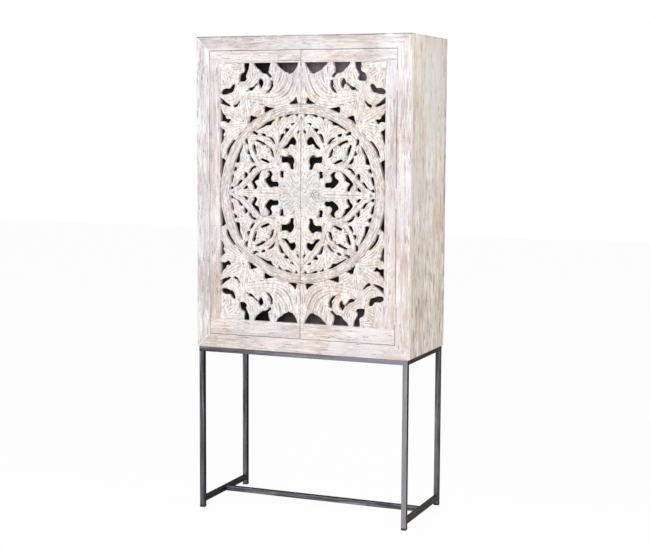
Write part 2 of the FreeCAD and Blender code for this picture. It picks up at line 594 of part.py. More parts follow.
# inside the ring
insideShares = (
    ((1.2, 30.4), (2.5, 30.4), (2.2, 29.2), (1.6, 29.0)),
    ((3.5, 30.3), (5.8, 30.0), (6.9, 29.8), (6.5, 29.0), (6.0, 28.8), (4.9, 29.6)),
    ((7.7, 29.5), (9.7, 29.0), (9.7, 28.2), (9.1, 27.7), (8.5, 28.6)),
    ((10.9, 28.6), (13.4, 27.6), (15.8, 26.4), (19.2, 24.1), (18.6, 23.8), (16.6, 25.0), (14.6, 26.0),
     (12.7, 25.9), (12.3, 27.2)),
    ((2.3, 27.1), (4.6, 26.8), (4.1, 25.5), (3.2, 26.2)),
    ((4.7, 24.7), (6.2, 25.1), (7.5, 24.5), (6.5, 23.2), (5.4, 23.6)),
    ((0.6, 24.7), (2.2, 23.4), (1.8, 22.7), (0.7, 23.1)),
    ((1.9, 20.4), (2.0, 18.7), (3.2, 18.3), (4.4, 19.0), (5.0, 18.5), (5.4, 17.6), (7.0, 17.0), (7.9, 16.8),
     (7.3, 18.0), (6.1, 19.0), (5.2, 20.6), (4.2, 21.8), (3.0, 21.4)),
    ((6.9, 22.7), (8.0, 21.2), (8.9, 19.2), (9.7, 19.2), (9.3, 21.3), (8.7, 22.7), (7.6, 23.0)),
    ((10.6, 18.9), (11.2, 20.3), (12.3, 21.3), (14.2, 21.9), (13.8, 21.1), (12.7, 20.3), (11.5, 18.9)),
    ((14.5, 18.4), (15.5, 19.4), (17.4, 20.3), (19.5, 20.8), (19.2, 19.9), (17.3, 19.2), (15.8, 18.2)),
    ((14.6, 22.2), (15.3, 22.9), (17.1, 23.0), (16.8, 22.0), (15.2, 21.6)),
    ((18.0, 22.5), (18.9, 23.3), (19.9, 24.0), (21.0, 23.1), (19.9, 22.5), (18.5, 22.0)),
    ((10.8, 13.3), (12.7, 14.3), (12.9, 15.7), (13.5, 17.0), (12.7, 17.7), (11.7, 16.1), (11.4, 14.8)),
    ((18.4, 14.2), (19.4, 14.7), (20.2, 16.4), (20.8, 18.4), (20.0, 19.1), (19.0, 17.5), (18.7, 16.0)),
    ((12.9, 11.4), (14.8, 11.6), (16.3, 12.2), (17.6, 13.1), (16.4, 13.5), (14.7, 12.9), (13.6, 12.2)),
    ((21.1, 14.6), (23.2, 14.8), (23.0, 16.1), (22.2, 17.1), (21.7, 15.8)),
    ((19.1, 11.4), (20.8, 11.7), (21.8, 12.9), (21.9, 14.2), (20.8, 13.8), (19.9, 12.6)),
    ((22.0, 18.1), (23.3, 18.8), (24.2, 19.8), (23.3, 21.1), (22.3, 21.0), (22.5, 19.6)),
    ((24.3, 18.6), (25.2, 15.9), (26.1, 14.0), (26.0, 11.6), (28.2, 11.3), (27.7, 13.3), (26.8, 15.4),
     (25.5, 17.6), (24.8, 18.4)),
    ((2.9, 9.2), (4.8, 9.2), (5.0, 11.0), (6.1, 12.0), (8.2, 11.6), (8.7, 12.5), (8.6, 14.6),
     (7.6, 14.3), (6.2, 14.0), (5.0, 15.1), (3.9, 14.5), (3.0, 13.2), (2.9, 12.0), (3.5, 10.8)),
    ((6.9, 8.7), (9.3, 8.6), (8.9, 7.4), (9.1, 6.0), (7.1, 5.9), (7.4, 7.3)),
    ((9.5, 2.4), (11.6, 2.8), (12.9, 2.1), (14.0, 2.8), (14.8, 3.8), (15.7, 5.2), (14.8, 6.0),
     (13.9, 6.7), (13.7, 7.5), (14.5, 8.9), (12.9, 8.5), (11.6, 7.2), (12.5, 6.2), (12.4, 4.9),
     (11.5, 4.4), (9.6, 4.6)),
    ((16.4, 8.2), (17.7, 6.9), (17.9, 5.2), (19.2, 4.8), (19.8, 4.2), (18.7, 2.9), (18.6, 1.3),
     (20.3, 1.4), (20.4, 2.9), (21.6, 4.1), (20.4, 5.5), (19.2, 6.8), (17.6, 8.1)),
    ((18.8, 9.9), (20.3, 9.1), (21.4, 7.8), (22.4, 7.6), (21.9, 9.0), (20.8, 10.1), (19.3, 10.6)),
    ((22.5, 6.8), (24.0, 5.4), (24.5, 6.6), (24.1, 8.3), (23.0, 8.1)),
    ((24.9, 4.9), (25.2, 3.9), (26.6, 2.4), (27.3, 2.7), (26.7, 4.3), (25.8, 5.2)),
    ((22.6, 2.6), (22.9, 1.4), (24.7, 1.1), (24.3, 2.1), (23.3, 3.0)),
    ((27.1, 9.2), (28.3, 8.2), (29.0, 8.0), (28.8, 9.2), (28.4, 10.1), (27.8, 10.0)),
    ((28.3, 6.6), (28.7, 5.1), (29.2, 3.6), (30.0, 3.6), (29.8, 5.3), (29.4, 7.0), (28.6, 7.0)),
    ((28.2, 1.9), (29.4, 1.1), (30.1, 1.0), (30.1, 2.5), (29.3, 2.5)),
)
# outside the ring, along the rails and in the corners
outsideShares = (
    ((27.8, 20.8), (28.9, 19.6), (30.2, 17.7), (31.0, 15.4), (31.7, 14.4), (32.2, 16.2), (31.3, 18.1),
     (29.8, 20.1), (28.3, 21.4)),
    ((11.0, 33.4), (13.2, 32.8), (15.8, 31.5), (15.8, 33.0), (15.7, 34.6), (13.6, 33.9)),
    ((18.3, 29.9), (20.4, 28.9), (22.4, 27.0), (22.8, 27.3), (22.0, 29.2), (21.6, 31.1), (19.9, 30.4)),
    ((32.2, 12.3), (33.0, 10.0), (33.6, 7.4), (34.1, 5.9), (35.4, 6.2), (35.4, 9.0), (35.4, 14.6),
     (33.6, 13.8), (32.3, 13.0)),
    ((31.9, 24.3), (32.9, 23.5), (32.9, 21.9), (33.4, 20.4), (34.0, 19.4), (35.4, 19.6), (35.4, 26.6),
     (34.0, 25.6), (32.9, 25.0)),
    ((29.6, 29.4), (30.5, 28.1), (31.4, 27.2), (32.4, 28.4), (33.4, 28.2), (35.4, 28.0), (35.4, 34.2),
     (34.0, 33.2), (33.3, 31.2), (32.2, 30.7), (32.1, 29.5), (30.8, 29.2)),
    ((0.9, 51.9), (1.2, 50.4), (2.1, 49.0), (2.9, 47.6), (4.0, 46.6), (5.1, 46.3), (6.0, 47.1),
     (7.3, 47.1), (8.1, 48.1), (9.2, 48.6), (10.1, 49.7), (10.9, 50.8), (11.1, 51.9)),
    ((13.2, 51.9), (13.1, 50.4), (13.7, 48.6), (13.7, 47.2), (12.9, 46.3), (12.0, 45.6), (12.8, 44.8),
     (13.7, 45.6), (14.7, 46.7), (16.6, 46.6), (17.3, 47.7), (18.1, 48.2), (19.1, 48.8), (20.1, 50.1),
     (20.4, 51.9)),
    ((21.8, 51.9), (21.7, 49.8), (22.0, 48.2), (23.0, 47.0), (23.3, 45.8), (22.6, 44.5), (23.7, 43.7),
     (25.0, 43.7), (26.5, 43.6), (26.3, 45.5), (25.9, 46.7), (24.4, 47.2), (24.2, 48.3), (24.6, 49.8),
     (23.9, 51.9)),
    ((27.6, 42.5), (29.2, 42.8), (30.0, 41.7), (30.5, 40.9), (32.0, 41.2), (33.3, 40.8), (34.3, 39.9),
     (34.2, 38.8), (32.8, 38.8), (31.4, 38.7), (30.5, 39.4), (28.9, 39.3), (28.3, 40.5)),
    ((11.8, 44.2), (11.6, 42.0), (12.3, 40.5), (13.6, 39.4), (15.0, 39.2), (14.2, 40.3), (13.4, 41.3),
     (13.1, 42.4), (13.0, 44.2)),
    ((16.0, 43.6), (15.8, 42.4), (16.6, 41.2), (17.3, 40.9), (17.9, 42.4), (18.6, 43.3), (17.8, 44.8),
     (16.9, 44.8)),
    ((18.3, 43.0), (19.5, 41.3), (20.4, 40.3), (21.4, 39.9), (22.8, 40.7), (22.0, 41.4), (20.9, 41.5),
     (19.8, 42.2), (19.0, 43.2)),
    ((25.6, 36.4), (26.4, 34.8), (27.4, 33.8), (28.8, 33.6), (29.0, 34.8), (27.8, 35.0), (27.0, 35.6),
     (26.4, 36.5)),
    ((29.7, 33.8), (31.0, 34.2), (32.4, 34.6), (33.8, 35.2), (35.4, 35.7), (35.4, 38.2), (33.8, 37.5),
     (32.5, 36.4), (31.3, 35.5), (30.2, 35.0)),
    ((1.3, 35.3), (6.0, 35.1), (4.6, 36.0), (3.4, 36.7), (2.6, 38.0), (2.0, 37.4), (1.8, 36.2)),
)
# rosettes and rolled buds that stand up to the front: squares across, up and in radius
bossShares = ((16.1, 16.0, 2.8), (6.9, 15.7, 1.6), (6.9, 10.2, 1.6), (15.3, 7.3, 1.4), (11.0, 6.2, 1.4))


def drawn(side, half, across, up, inside):
    # a place on the grid in the carving's own millimetres: inside the ring the squares follow its inner edge,
    # outside it they follow its outer edge, and above it they are spread over what is left of the field
    x = size("ringOuter") * across / gridShare["ringAcross"]
    y = size("ringOuter") * up / gridShare["ringUp"]
    beyond = (up - gridShare["ringUp"]) / (gridShare["fieldUp"] - gridShare["ringUp"])
    if inside:
        y = size("ringInner") * up / gridShare["innerUp"]
    elif beyond > 0:
        y = size("ringOuter") + beyond * (size("fieldHalfHeight") - size("ringOuter"))
    return Vector(side * x, half * y, 0)


def outline(side, half, shares, inside):
    # closed smooth curve of the second degree, steered by the outline's corners
    poles = [drawn(side, half, across, up, inside) for across, up in shares]
    curve = Part.BSplineCurve()
    knots = list(range(len(poles) + 1))
    curve.buildFromPolesMultsKnots(poles, [1] * len(knots), knots, True, 2)
    return curve


def halfRing(sketch, side, outer, inner):
    # half an annulus about the carving's middle, cut off straight at the doors' meeting edge
    upward = math.pi / 2
    arcs = []
    for name in (outer, inner):
        radius = size(name)
        lean = math.asin(size("doorMeeting") / radius)
        turn = upward - lean
        circle = Part.Circle(Vector(), upright, radius)
        ends = (-turn, turn) if side > 0 else (math.pi - turn, math.pi + turn)
        arcs.append(Part.ArcOfCircle(circle, *ends))
    first = sketch.addGeometry(arcs[0], False)
    second = sketch.addGeometry(arcs[1], False)
    low, high = arcs[0].StartPoint, arcs[0].EndPoint
    lowIn, highIn = arcs[1].StartPoint, arcs[1].EndPoint
    lines = sketch.addGeometry([Part.LineSegment(high, highIn), Part.LineSegment(lowIn, low)], False)
    for arc, name in ((first, outer), (second, inner)):
        sketch.addConstraint(Sketcher.Constraint("Coincident", arc, 3, -1, 1))
        index = sketch.addConstraint(Sketcher.Constraint("Radius", arc, size(name)))
        sketch.setExpression("Constraints[%d]" % index, ref(name))
    top, bottom = lines
    meets = ((first, 2, top, 1), (top, 2, second, 2), (second, 1, bottom, 1), (bottom, 2, first, 1))
    for meet in meets:
        sketch.addConstraint(Sketcher.Constraint("Coincident", *meet))
    for line in lines:
        sketch.addConstraint(Sketcher.Constraint("Vertical", line))
    edge = "doorMeeting" if side > 0 else "-doorMeeting"
    for line in lines:
        measure(sketch, "DistanceX", (-1, 1), (line, 1), edge)


def carvedBoard(label, side):
    # pierced board of one door; its own origin is the carving's middle in the plane of the door's front
    body = newBody(label)
    prefix = "" if side > 0 else "-"
    ground = newSketch(body, label + "_ground", "XZ_Plane", "-dim.reliefHeight")
    near, far = prefix + "doorMeeting", prefix + "fieldHalf"
    low, high = "-fieldHalfHeight", "fieldHalfHeight"
    loop(ground, ((near, low), (far, low), (far, high), (near, high)))
    pad(body, ground, "dim.carvedThickness", reverse=True)
    raised = newSketch(body, label + "_raised", "XZ_Plane", "-dim.reliefHeight")
    halfRing(raised, side, "ringOuter", "ringInner")
    for half in (-1, 1):
        for across, up, radius in bossShares:
            reach = size("ringOuter") * radius / gridShare["ringAcross"]
            raised.addGeometry(Part.Circle(drawn(side, half, across, up, True), upright, reach), False)
    radius = size("flowerRadius")
    turn = math.pi / 2 - math.asin(size("doorMeeting") / radius)
    ends = (-turn, turn) if side > 0 else (math.pi - turn, math.pi + turn)
    flower = Part.ArcOfCircle(Part.Circle(Vector(), upright, radius), *ends)
    raised.addGeometry([flower, Part.LineSegment(flower.EndPoint, flower.StartPoint)], False)
    pad(body, raised, "dim.reliefHeight")
    flutes = newSketch(body, label + "_flutes", "XZ_Plane")
    for outer, inner in (("fluteOuterHigh", "fluteOuterLow"), ("fluteInnerHigh", "fluteInnerLow")):
        halfRing(flutes, side, outer, inner)
    pocket(body, flutes, "dim.fluteDepth", reverse=False)
    openings = newSketch(body, label + "_openings", "XZ_Plane")
    for half in (-1, 1):
        for inside, table in ((True, insideShares), (False, outsideShares)):
            openings.addGeometry([outline(side, half, shares, inside) for shares in table], False)
    if side > 0:
        holeRadius = size("knobScrewRadius") + spare
        openings.addGeometry(Part.Circle(Vector(size("knobReach"), 0, 0), upright, holeRadius), False)
    pocket(body, openings, "fit.pierceDepth", bothWays=True)
    place(body, None, "fit.frontY", "fit.carvingZ")
    parts.append(body)


# Doors: the rails run the whole width and the stile stands between them
for side, name in ((-1, "left"), (1, "right")):
    stileX = "fit.fieldHalf" if side > 0 else "-fit.doorEdge"
    railX = "fit.doorMeeting" if side > 0 else "-fit.doorEdge"
    stile = board(name + "_stile_blank", ("stileWidth", "doorThickness", "fieldHeight"),
                  stileX, "fit.frontY", "fit.fieldLow")
    parts.append(cut(name + "_door_stile", stile, bores[name, "door"]))
    topRail = board(name + "_rail_blank", ("doorWidth", "doorThickness", "topRailWidth"),
                    railX, "fit.frontY", "fit.fieldHigh")
    parts.append(cut(name + "_door_top_rail", topRail, strikes[name]))
    parts.append(board(name + "_door_bottom_rail", ("doorWidth", "doorThickness", "bottomRailWidth"),
                       railX, "fit.frontY", "fit.doorLow"))
    carvedBoard(name + "_carved_panel", side)


# Butt hinges: a leaf on the frame with three knuckles, a leaf on the door with two, and a pin
knuckleCount = 5


def hingeLeaf(label, side, low, onFrame, name):
    sign = "" if side > 0 else "-"
    pinX = sign + "fit.pinX"
    faceX = "fit.openingHalf - dim.leafThickness" if onFrame else "fit.doorEdge"
    leafX = faceX if side > 0 else "-(" + faceX + ") - dim.leafThickness"
    plate = box(label + "_plate", ("dim.leafThickness", "fit.leafReach", "dim.hingeLength"),
                leafX, "fit.pinY", low)
    knuckles = []
    reliefs = []
    for k in range(knuckleCount):
        mine = (k % 2 == 0) == onFrame
        z = "%s + %d * fit.knucklePitch" % (low, k)
        if mine:
            knuckles.append(cylinder("%s_knuckle_%d" % (label, k), "dim.knuckleRadius", "fit.knuckleHeight",
                                     pinX, "fit.pinY", z + " + dim.knuckleGap / 2"))
        else:
            reliefs.append(cylinder("%s_relief_%d" % (label, k), "fit.reliefRadius", "fit.knuckleRelief",
                                    pinX, "fit.pinY", z + " - dim.knuckleGap / 2"))
    bore = cylinder(label + "_bore", "fit.pinBore", "dim.hingeLength + 2 * dim.cutOverrun",
                    pinX, "fit.pinY", low + " - dim.cutOverrun")
    solid = joined(label + "_solid", [plate] + knuckles)
    hollow = cut(label + "_hollow", solid, joined(label + "_clear", reliefs + [bore]))
    return cut(label, hollow, bores[name, "frame" if onFrame else "door"])


for side, sign, name in ((-1, "-", "left"), (1, "", "right")):
    pins = []
    for level in ("top", "middle", "bottom"):
        low = "fit.hinge%sLow" % level.capitalize()
        mark = "%s_%s_hinge" % (name, level)
        pinX = sign + "fit.pinX"
        parts.append(hingeLeaf(mark + "_frame_leaf", side, low, True, name))
        parts.append(hingeLeaf(mark + "_door_leaf", side, low, False, name))
        shaft = cylinder(mark + "_shaft", "dim.pinRadius", "dim.hingeLength", pinX, "fit.pinY", low)
        heads = [
            cylinder(mark + "_head_low", "dim.knuckleRadius", "dim.pinHeadHeight",
                     pinX, "fit.pinY", low + " - dim.pinHeadHeight"),
            cylinder(mark + "_head_high", "dim.knuckleRadius", "dim.pinHeadHeight",
                     pinX, "fit.pinY", low + " + dim.hingeLength"),
        ]
        pins.append(joined(mark + "_pin", [shaft] + heads))
    parts.append(group(name + "_hinge_pins", pins))


# Knob: turned foot, neck and domed head on the right door, held by a screw from behind
def knob():
    body = newBody("knob_blank")
    profile = newSketch(body, "knob_profile", "XY_Plane")
    footR, neckR, headR = size("knobBase") / 2, size("knobNeck") / 2, size("knobDiameter") / 2
    foot, neck, top = size("knobFootHeight"), size("knobNeckHeight"), size("knobProjection")
    widest = (neck + top) / 2
    under = (neck + widest) / 2
    over = (widest + top) / 2
    # two curves of the third degree that meet at the widest part of the head
    steers = ((neckR, neck), (headR, neck), (headR, under), (headR, widest),
              (headR, over), (neckR, top), (0, top))
    head = Part.BSplineCurve()
    head.buildFromPolesMultsKnots([Vector(x, y, 0) for x, y in steers], [4, 3, 4], [0, 1, 2], False, 3)
    corners = ((0, top), (0, 0), (footR, 0), (neckR, foot), (neckR, neck))
    points = [Vector(x, y, 0) for x, y in corners]
    sides = [Part.LineSegment(points[k], points[k + 1]) for k in range(len(points) - 1)]
    profile.addGeometry(sides + [head], False)
    turned = body.newObject("PartDesign::Revolution", "knob_turned")
    turned.Profile = profile
    turned.ReferenceAxis = (profile, ["V_Axis"])
    turned.Angle = 4 * quarterTurn
    body.Placement = Placement(Vector(), Rotation(rightward, 2 * quarterTurn))
    place(body, "dim.knobReach", "fit.frontY", "fit.carvingZ")
    return body


knobScrewAt = Vector(size("knobReach"), size("frontY") + size("carvedBack"), size("carvingZ"))
knobScrewSizes = [size(name) for name in ("knobScrewRadius", "knobScrewHead", "knobScrewHeadHeight")]
knobScrewLength = size("carvedBack") + size("knobScrewGrip")
parts.append(shaped("knob_screw", panScrew(*knobScrewSizes, knobScrewLength, knobScrewAt, -backward)))
knobBore = shaped("knob_bore", panScrew(*knobScrewSizes, knobScrewLength, knobScrewAt, -backward, spare))
parts.append(cut("knob", knob(), knobBore))

doc.recompute()

faults = [thing.Label for thing in doc.Objects if {"Invalid", "Error"} & set(thing.State)]
for part in parts:
    shape = getattr(part, "Shape", None)
    if shape is None or shape.isNull() or not shape.isValid() or shape.Volume <= 0:
        faults.append(part.Label)
if faults:
    raise RuntimeError("faulty: " + ", ".join(faults))

os.makedirs("parts", exist_ok=True)
for part in parts:
    part.Shape.exportStep(os.path.join("parts", part.Label + ".step"))
print(len(parts), "parts written")
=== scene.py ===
import math
import bpy
import numpy as np
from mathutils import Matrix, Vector, geometry


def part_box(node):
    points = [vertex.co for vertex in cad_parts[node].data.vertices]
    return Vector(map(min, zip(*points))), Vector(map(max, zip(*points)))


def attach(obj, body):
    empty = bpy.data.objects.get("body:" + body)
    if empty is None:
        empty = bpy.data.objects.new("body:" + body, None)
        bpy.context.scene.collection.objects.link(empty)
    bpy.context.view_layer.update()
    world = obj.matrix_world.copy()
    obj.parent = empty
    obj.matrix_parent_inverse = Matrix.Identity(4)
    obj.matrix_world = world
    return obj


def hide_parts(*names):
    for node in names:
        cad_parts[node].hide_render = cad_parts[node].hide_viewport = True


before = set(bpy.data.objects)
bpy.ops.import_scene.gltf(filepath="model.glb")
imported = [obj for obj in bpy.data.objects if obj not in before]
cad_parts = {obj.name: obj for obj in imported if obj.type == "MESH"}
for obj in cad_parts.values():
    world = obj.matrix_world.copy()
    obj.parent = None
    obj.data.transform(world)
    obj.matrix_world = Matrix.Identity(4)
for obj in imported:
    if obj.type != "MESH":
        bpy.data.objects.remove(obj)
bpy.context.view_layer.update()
mm = 0.001

# the frame's own places that the looks are measured from, in metres
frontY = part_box("right_door_stile")[0].y
boardLow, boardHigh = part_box("right_carved_panel")
knobLow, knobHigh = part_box("knob")
caseLow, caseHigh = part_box("side_panel_right")
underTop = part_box("top_panel")[0].z
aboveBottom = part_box("bottom_panel")[1].z
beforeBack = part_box("back_panel")[0].y


def linear(text):
    values = [int(text[k:k + 2], 16) / 255 for k in (1, 3, 5)]
    return [c / 12.92 if c <= 0.04045 else ((c + 0.055) / 1.055) ** 2.4 for c in values] + [1.0]


def feed(tree, socket, value):
    # a node or a socket is linked to the input, and anything else is written into it
    if isinstance(value, bpy.types.Node):
        value = next(output for output in value.outputs if output.enabled)
    if isinstance(value, bpy.types.NodeSocket):
        tree.links.new(value, socket)
    else:
        socket.default_value = value


def addNode(tree, kind, *values, **settings):
    # one node with its settings; values fill its shown inputs in order, or a dictionary names the inputs
    full = kind if kind.startswith(("Geometry", "Function", "NodeGroup")) else "ShaderNode" + kind
    node = tree.nodes.new(full)
    for name, value in settings.items():
        setattr(node, name, value)
    shown = [socket for socket in node.inputs if socket.enabled]
    for index, value in enumerate(values):
        named = value if isinstance(value, dict) else {None: value}
        for name, given in named.items():
            feed(tree, shown[index] if name is None else node.inputs[name], given)
    return node


def shared(tree, *masks):
    # where several masks overlap; one given with two levels rises softly from the first to the second
    whole = None
    for mask in masks:
        if isinstance(mask, tuple):
            mask = addNode(tree, "MapRange", *mask, interpolation_type="SMOOTHSTEP")
        whole = mask if whole is None else addNode(tree, "Math", whole, mask, operation="MULTIPLY")
    return whole


def laidOver(tree, colour, tint, *masks):
    # a tint laid over the colour below it where the masks overlap
    return addNode(tree, "Mix", shared(tree, *masks), colour, linear(tint), data_type="RGBA")


def layered(tree, colour, at, *layers):
    # tints laid over the colour in turn where their masks overlap: a field, a field and two levels, or a share
    for tint, *masks in layers:
        found = [(at[m[0]], *m[1:]) if isinstance(m, tuple) else at.get(m, m) for m in masks]
        colour = laidOver(tree, colour, tint, *found)
    return colour


def addNoises(tree, at, noises, grain="Z", seed=0.0, coarse=1.0):
    # named noises in object coordinates: coarsest feature in millimetres, detail, roughness and distortion, and
    # for streaks the squeeze along the grain and what is added to the seed
    for name, (size, detail, roughness, distortion, *streak) in noises.items():
        place = at["place"]
        if streak:
            squeeze, later = (*streak, 0.0)[:2]
            squeezed = [squeeze if axis == grain else 1.0 for axis in "XYZ"]
            shift = [(seed + later) * step for step in (1.37, 0.71, 2.13)]
            place = addNode(tree, "Mapping", place, {"Scale": squeezed, "Location": shift})
        scale = 1 / (size * coarse * mm)
        at[name] = addNode(tree, "TexNoise", place, scale, detail, roughness, 2.0, distortion)


def apart(tree, first, second):
    # how far two values lie from each other
    between = addNode(tree, "Math", first, second, operation="SUBTRACT")
    return addNode(tree, "Math", between, operation="ABSOLUTE")


def newMaterial(name):
    # a material, its tree and shader, and the fields for its layers, at first the object coordinates in metres
    material = bpy.data.materials.new(name)
    material.use_nodes = True
    tree = material.node_tree
    place = addNode(tree, "TexCoord").outputs["Object"]
    at = {"place": place, **dict(zip("xyz", addNode(tree, "SeparateXYZ", place).outputs))}
    return material, tree, tree.nodes["Principled BSDF"], at


def sculpted(name, points, faces, material, sharp, **attributes):
    # a piece from points and faces, smooth up to the given angle; attributes hold a value for each point
    mesh = bpy.data.meshes.new(name)
    mesh.from_pydata(points, [], faces)
    mesh.validate()
    for attribute, values in attributes.items():
        data = mesh.attributes.new(attribute, "FLOAT", "POINT").data
        data.foreach_set("value", np.append(values, np.zeros(len(data) - len(values))).astype(np.float32))
    mesh.shade_smooth()
    mesh.set_sharp_from_angle(angle=math.radians(sharp))
    mesh.materials.append(material)
    piece = bpy.data.objects.new(name, mesh)
    bpy.context.scene.collection.objects.link(piece)
    return piece


def surface(tree, shader, colour, roughness, height, strength, depth):
    # what every finish ends in: its colour, its roughness and a fine unevenness of the given depth
    feed(tree, shader.inputs["Base Color"], colour)
    feed(tree, shader.inputs["Roughness"], roughness)
    bump = addNode(tree, "Bump", {"Height": height, "Strength": strength, "Distance": depth})
    feed(tree, shader.inputs["Normal"], bump)


def seenDirectly(tree):
    # 1 for what the camera sees, straight or in metal or through glass
    rays = addNode(tree, "LightPath").outputs
    seen = addNode(tree, "Math", rays["Is Camera Ray"], rays["Is Glossy Ray"], operation="ADD")
    return addNode(tree, "Math", seen, rays["Is Transmission Ray"], operation="ADD", use_clamp=True)


# Camera, from the photograph's perspective
view = {"place": (2.2292, -5.3737, 1.5685), "turn": (83.955, -0.295, 22.363), "lens": 80.34, "sensor": 36.0}
cameraData = bpy.data.cameras.new("camera")
cameraData.lens = view["lens"]
cameraData.sensor_width = view["sensor"]
camera = bpy.data.objects.new("camera", cameraData)
camera.location = view["place"]
camera.rotation_euler = [math.radians(a) for a in view["turn"]]
bpy.context.scene.collection.objects.link(camera)
bpy.context.scene.camera = camera

# Studio: white backdrop, pale floor, three large soft lamps
studio = {
    "skyLevel": 0.42, "backdrop": "#ffffff", "sky": "#f8f7f8",
    "floor": "#fbfbfb", "floorHalf": 14.0, "floorGlow": 0.96, "floorRoughness": 0.9,
    "key": {"place": (-3.9, -4.0, 4.3), "aim": (0.0, -0.2, 1.2), "size": 1.2, "power": 110.0},
    "front": {"place": (1.96, -5.05, 1.68), "aim": (0.0, -0.2, 1.3), "size": 0.6, "power": 80.0},
    "fill": {"place": (5.2, -1.8, 3.6), "aim": (0.3, 0.0, 1.3), "size": 2.4, "power": 105.0},
}
scene = bpy.context.scene
scene.view_settings.view_transform = "Standard"
world = bpy.data.worlds.new("studio")
scene.world = world
world.use_nodes = True
sky = world.node_tree
skyNode = sky.nodes["Background"]
seen = seenDirectly(sky)
feed(sky, skyNode.inputs["Color"], laidOver(sky, linear(studio["sky"]), studio["backdrop"], seen))
feed(sky, skyNode.inputs["Strength"], addNode(sky, "MapRange", seen, 0.0, 1.0, studio["skyLevel"], 1.0))


def addLamp(name, place, aim, size, power):
    data = bpy.data.lights.new(name, "AREA")
    data.shape = "DISK"
    data.size = size
    data.energy = power
    lamp = bpy.data.objects.new(name, data)
    lamp.location = place
    lamp.rotation_euler = (Vector(aim) - Vector(place)).to_track_quat("-Z", "Y").to_euler()
    scene.collection.objects.link(lamp)


for lamp in ("key", "front", "fill"):
    addLamp(lamp + "Lamp", **studio[lamp])
half = studio["floorHalf"]
corners = [(-half, -half, 0), (half, -half, 0), (half, half, 0), (-half, half, 0)]
floorMesh = bpy.data.meshes.new("floor")
floorMesh.from_pydata(corners, [], [(0, 1, 2, 3)])
floor = bpy.data.objects.new("floor", floorMesh)
scene.collection.objects.link(floor)
floorMaterial, tree, shader, at = newMaterial("paleFloor")
shader.inputs["Base Color"].default_value = linear(studio["floor"])
shader.inputs["Roughness"].default_value = studio["floorRoughness"]
# seen directly, in metal or through the openings, it is nearly the backdrop's white and keeps a faint shadow
glow = addNode(tree, "Emission", linear(studio["backdrop"]), 1.0)
blend = addNode(tree, "MixShader", shared(tree, seenDirectly(tree), studio["floorGlow"]), shader, glow)
feed(tree, tree.nodes["Material Output"].inputs["Surface"], blend)
floorMesh.materials.append(floorMaterial)
print("stage: studio")


# Carved boards: measures in millimetres from the middle of the carving
boardX = boardHigh.x / mm
boardNear = boardLow.x / mm
boardZ = (boardLow.z + boardHigh.z) / 2
boardUp = (boardHigh.z - boardLow.z) / 2 / mm
carving = {
    "ringOuter": boardX - 0.5, "ringWidth": 37.0,
    # squares of the drawing: ring's edge across and up, board's edge up, ring's inner edge up
    "across": 34.3, "up": 35.1, "fieldUp": 50.7, "innerUp": 30.3,
    # spacing of the height map and of the mesh, the ground and its rise away from the openings, their edges
    "fine": 1.0, "step": 2.0, "ground": -8.0, "pillow": 1.6, "pillowWidth": 10.0,
    "edgeDrop": 1.0, "edgeWidth": 2.2, "lowest": -12.5, "highest": -0.1, "reedDepth": 3.2,
    # how the lines wander, less towards the board's edge, the tool's marks, and the flat seat of the knob
    "waver": 0.9, "waverLength": 26.0, "fade": 20.0, "rough": 0.1, "roughLength": 4.0, "seed": 19,
    "knobX": (knobLow.x + knobHigh.x) / 2 / mm, "knobSeat": 12.0,
    # how far round a place its hollow and its ridge are measured, and the angle from which an edge is sharp
    "hollowBlur": 3.0, "ridgeBlur": 8.0, "sharp": 50,
    # meshing: how near a cut may come to a grid point as a share of the step, how far into an opening the back
    # may still reach, and what counts as one point
    "nearest": 0.02, "inHole": -0.2, "samePoint": 1e-4,
}
ringOuter = carving["ringOuter"]
ringInner = ringOuter - carving["ringWidth"]

# Mango wood, washed: the boards are brushed open, painted thin white and rubbed back along the grain. To the
# eye that is a chalky white that thins to grey and tan in streaks, with short dark hairlines where the grain
# took no paint.
wash = {
    # a piece's own: colours, how bare, warm and cool it is, its hairlines and how coarse its grain is
    "white": "#fbf6f4", "thin": "#c4b9b8", "line": "#6f6361",
    "bare": 0.0, "warm": 0.25, "cool": 0.4, "hairs": 0.85, "coarse": 1.0,
    "wood": "#cfb6a2", "tan": "#d6b08f", "lilac": "#dbd6dd", "dark": "#8e8279", "deepStain": "#695d56",
    "roughness": 0.62, "bump": 0.6 * mm,
    "grain": {"broad": (26.0, 5.0, 0.6, 0.3, 0.06), "streaks": (7.7, 5.0, 0.7, 0.5, 0.1, 0.5),
              "chalk": (4.8, 3.0, 0.65, 0.0), "fine": (4.2, 3.0, 0.6, 0.4, 0.1, 0.5),
              "splits": (10.5, 2.0, 0.5, 0.6, 0.09, 7.5)},
    "spread": {"patches": (240.0, 3.0, 0.6, 0.0), "clouds": (200.0, 4.0, 0.6, 0.5, 0.6, 3.5),
               "gaps": (45.0, 4.0, 0.65, 0.0)},
    "thinness": {"broad": 0.36, "streaks": 0.46, "chalk": 0.18, "patches": 0.25},
    # levels between which the thin, worn, bare and split places begin, and how the grain stands in relief
    "thinned": (0.4, 0.6), "worn": (0.48, 0.66), "opened": (0.55, 0.68), "split": (0.66, 0.72),
    "splitShare": 0.55, "raised": 0.8, "sunk": -0.4, "relief": 0.6,
    # where it is cool, warm, worn to tan and to wood, and where the hairlines break off
    "coolAt": ("clouds", 0.46, 0.64), "warmAt": ("clouds", 0.52, 0.34), "tanAt": ("streaks", 0.3, 0.6),
    "woodAt": ("patches", 0.44, 0.64), "woodShare": 0.5, "brokenAt": ("gaps", 0.42, 0.58),
}


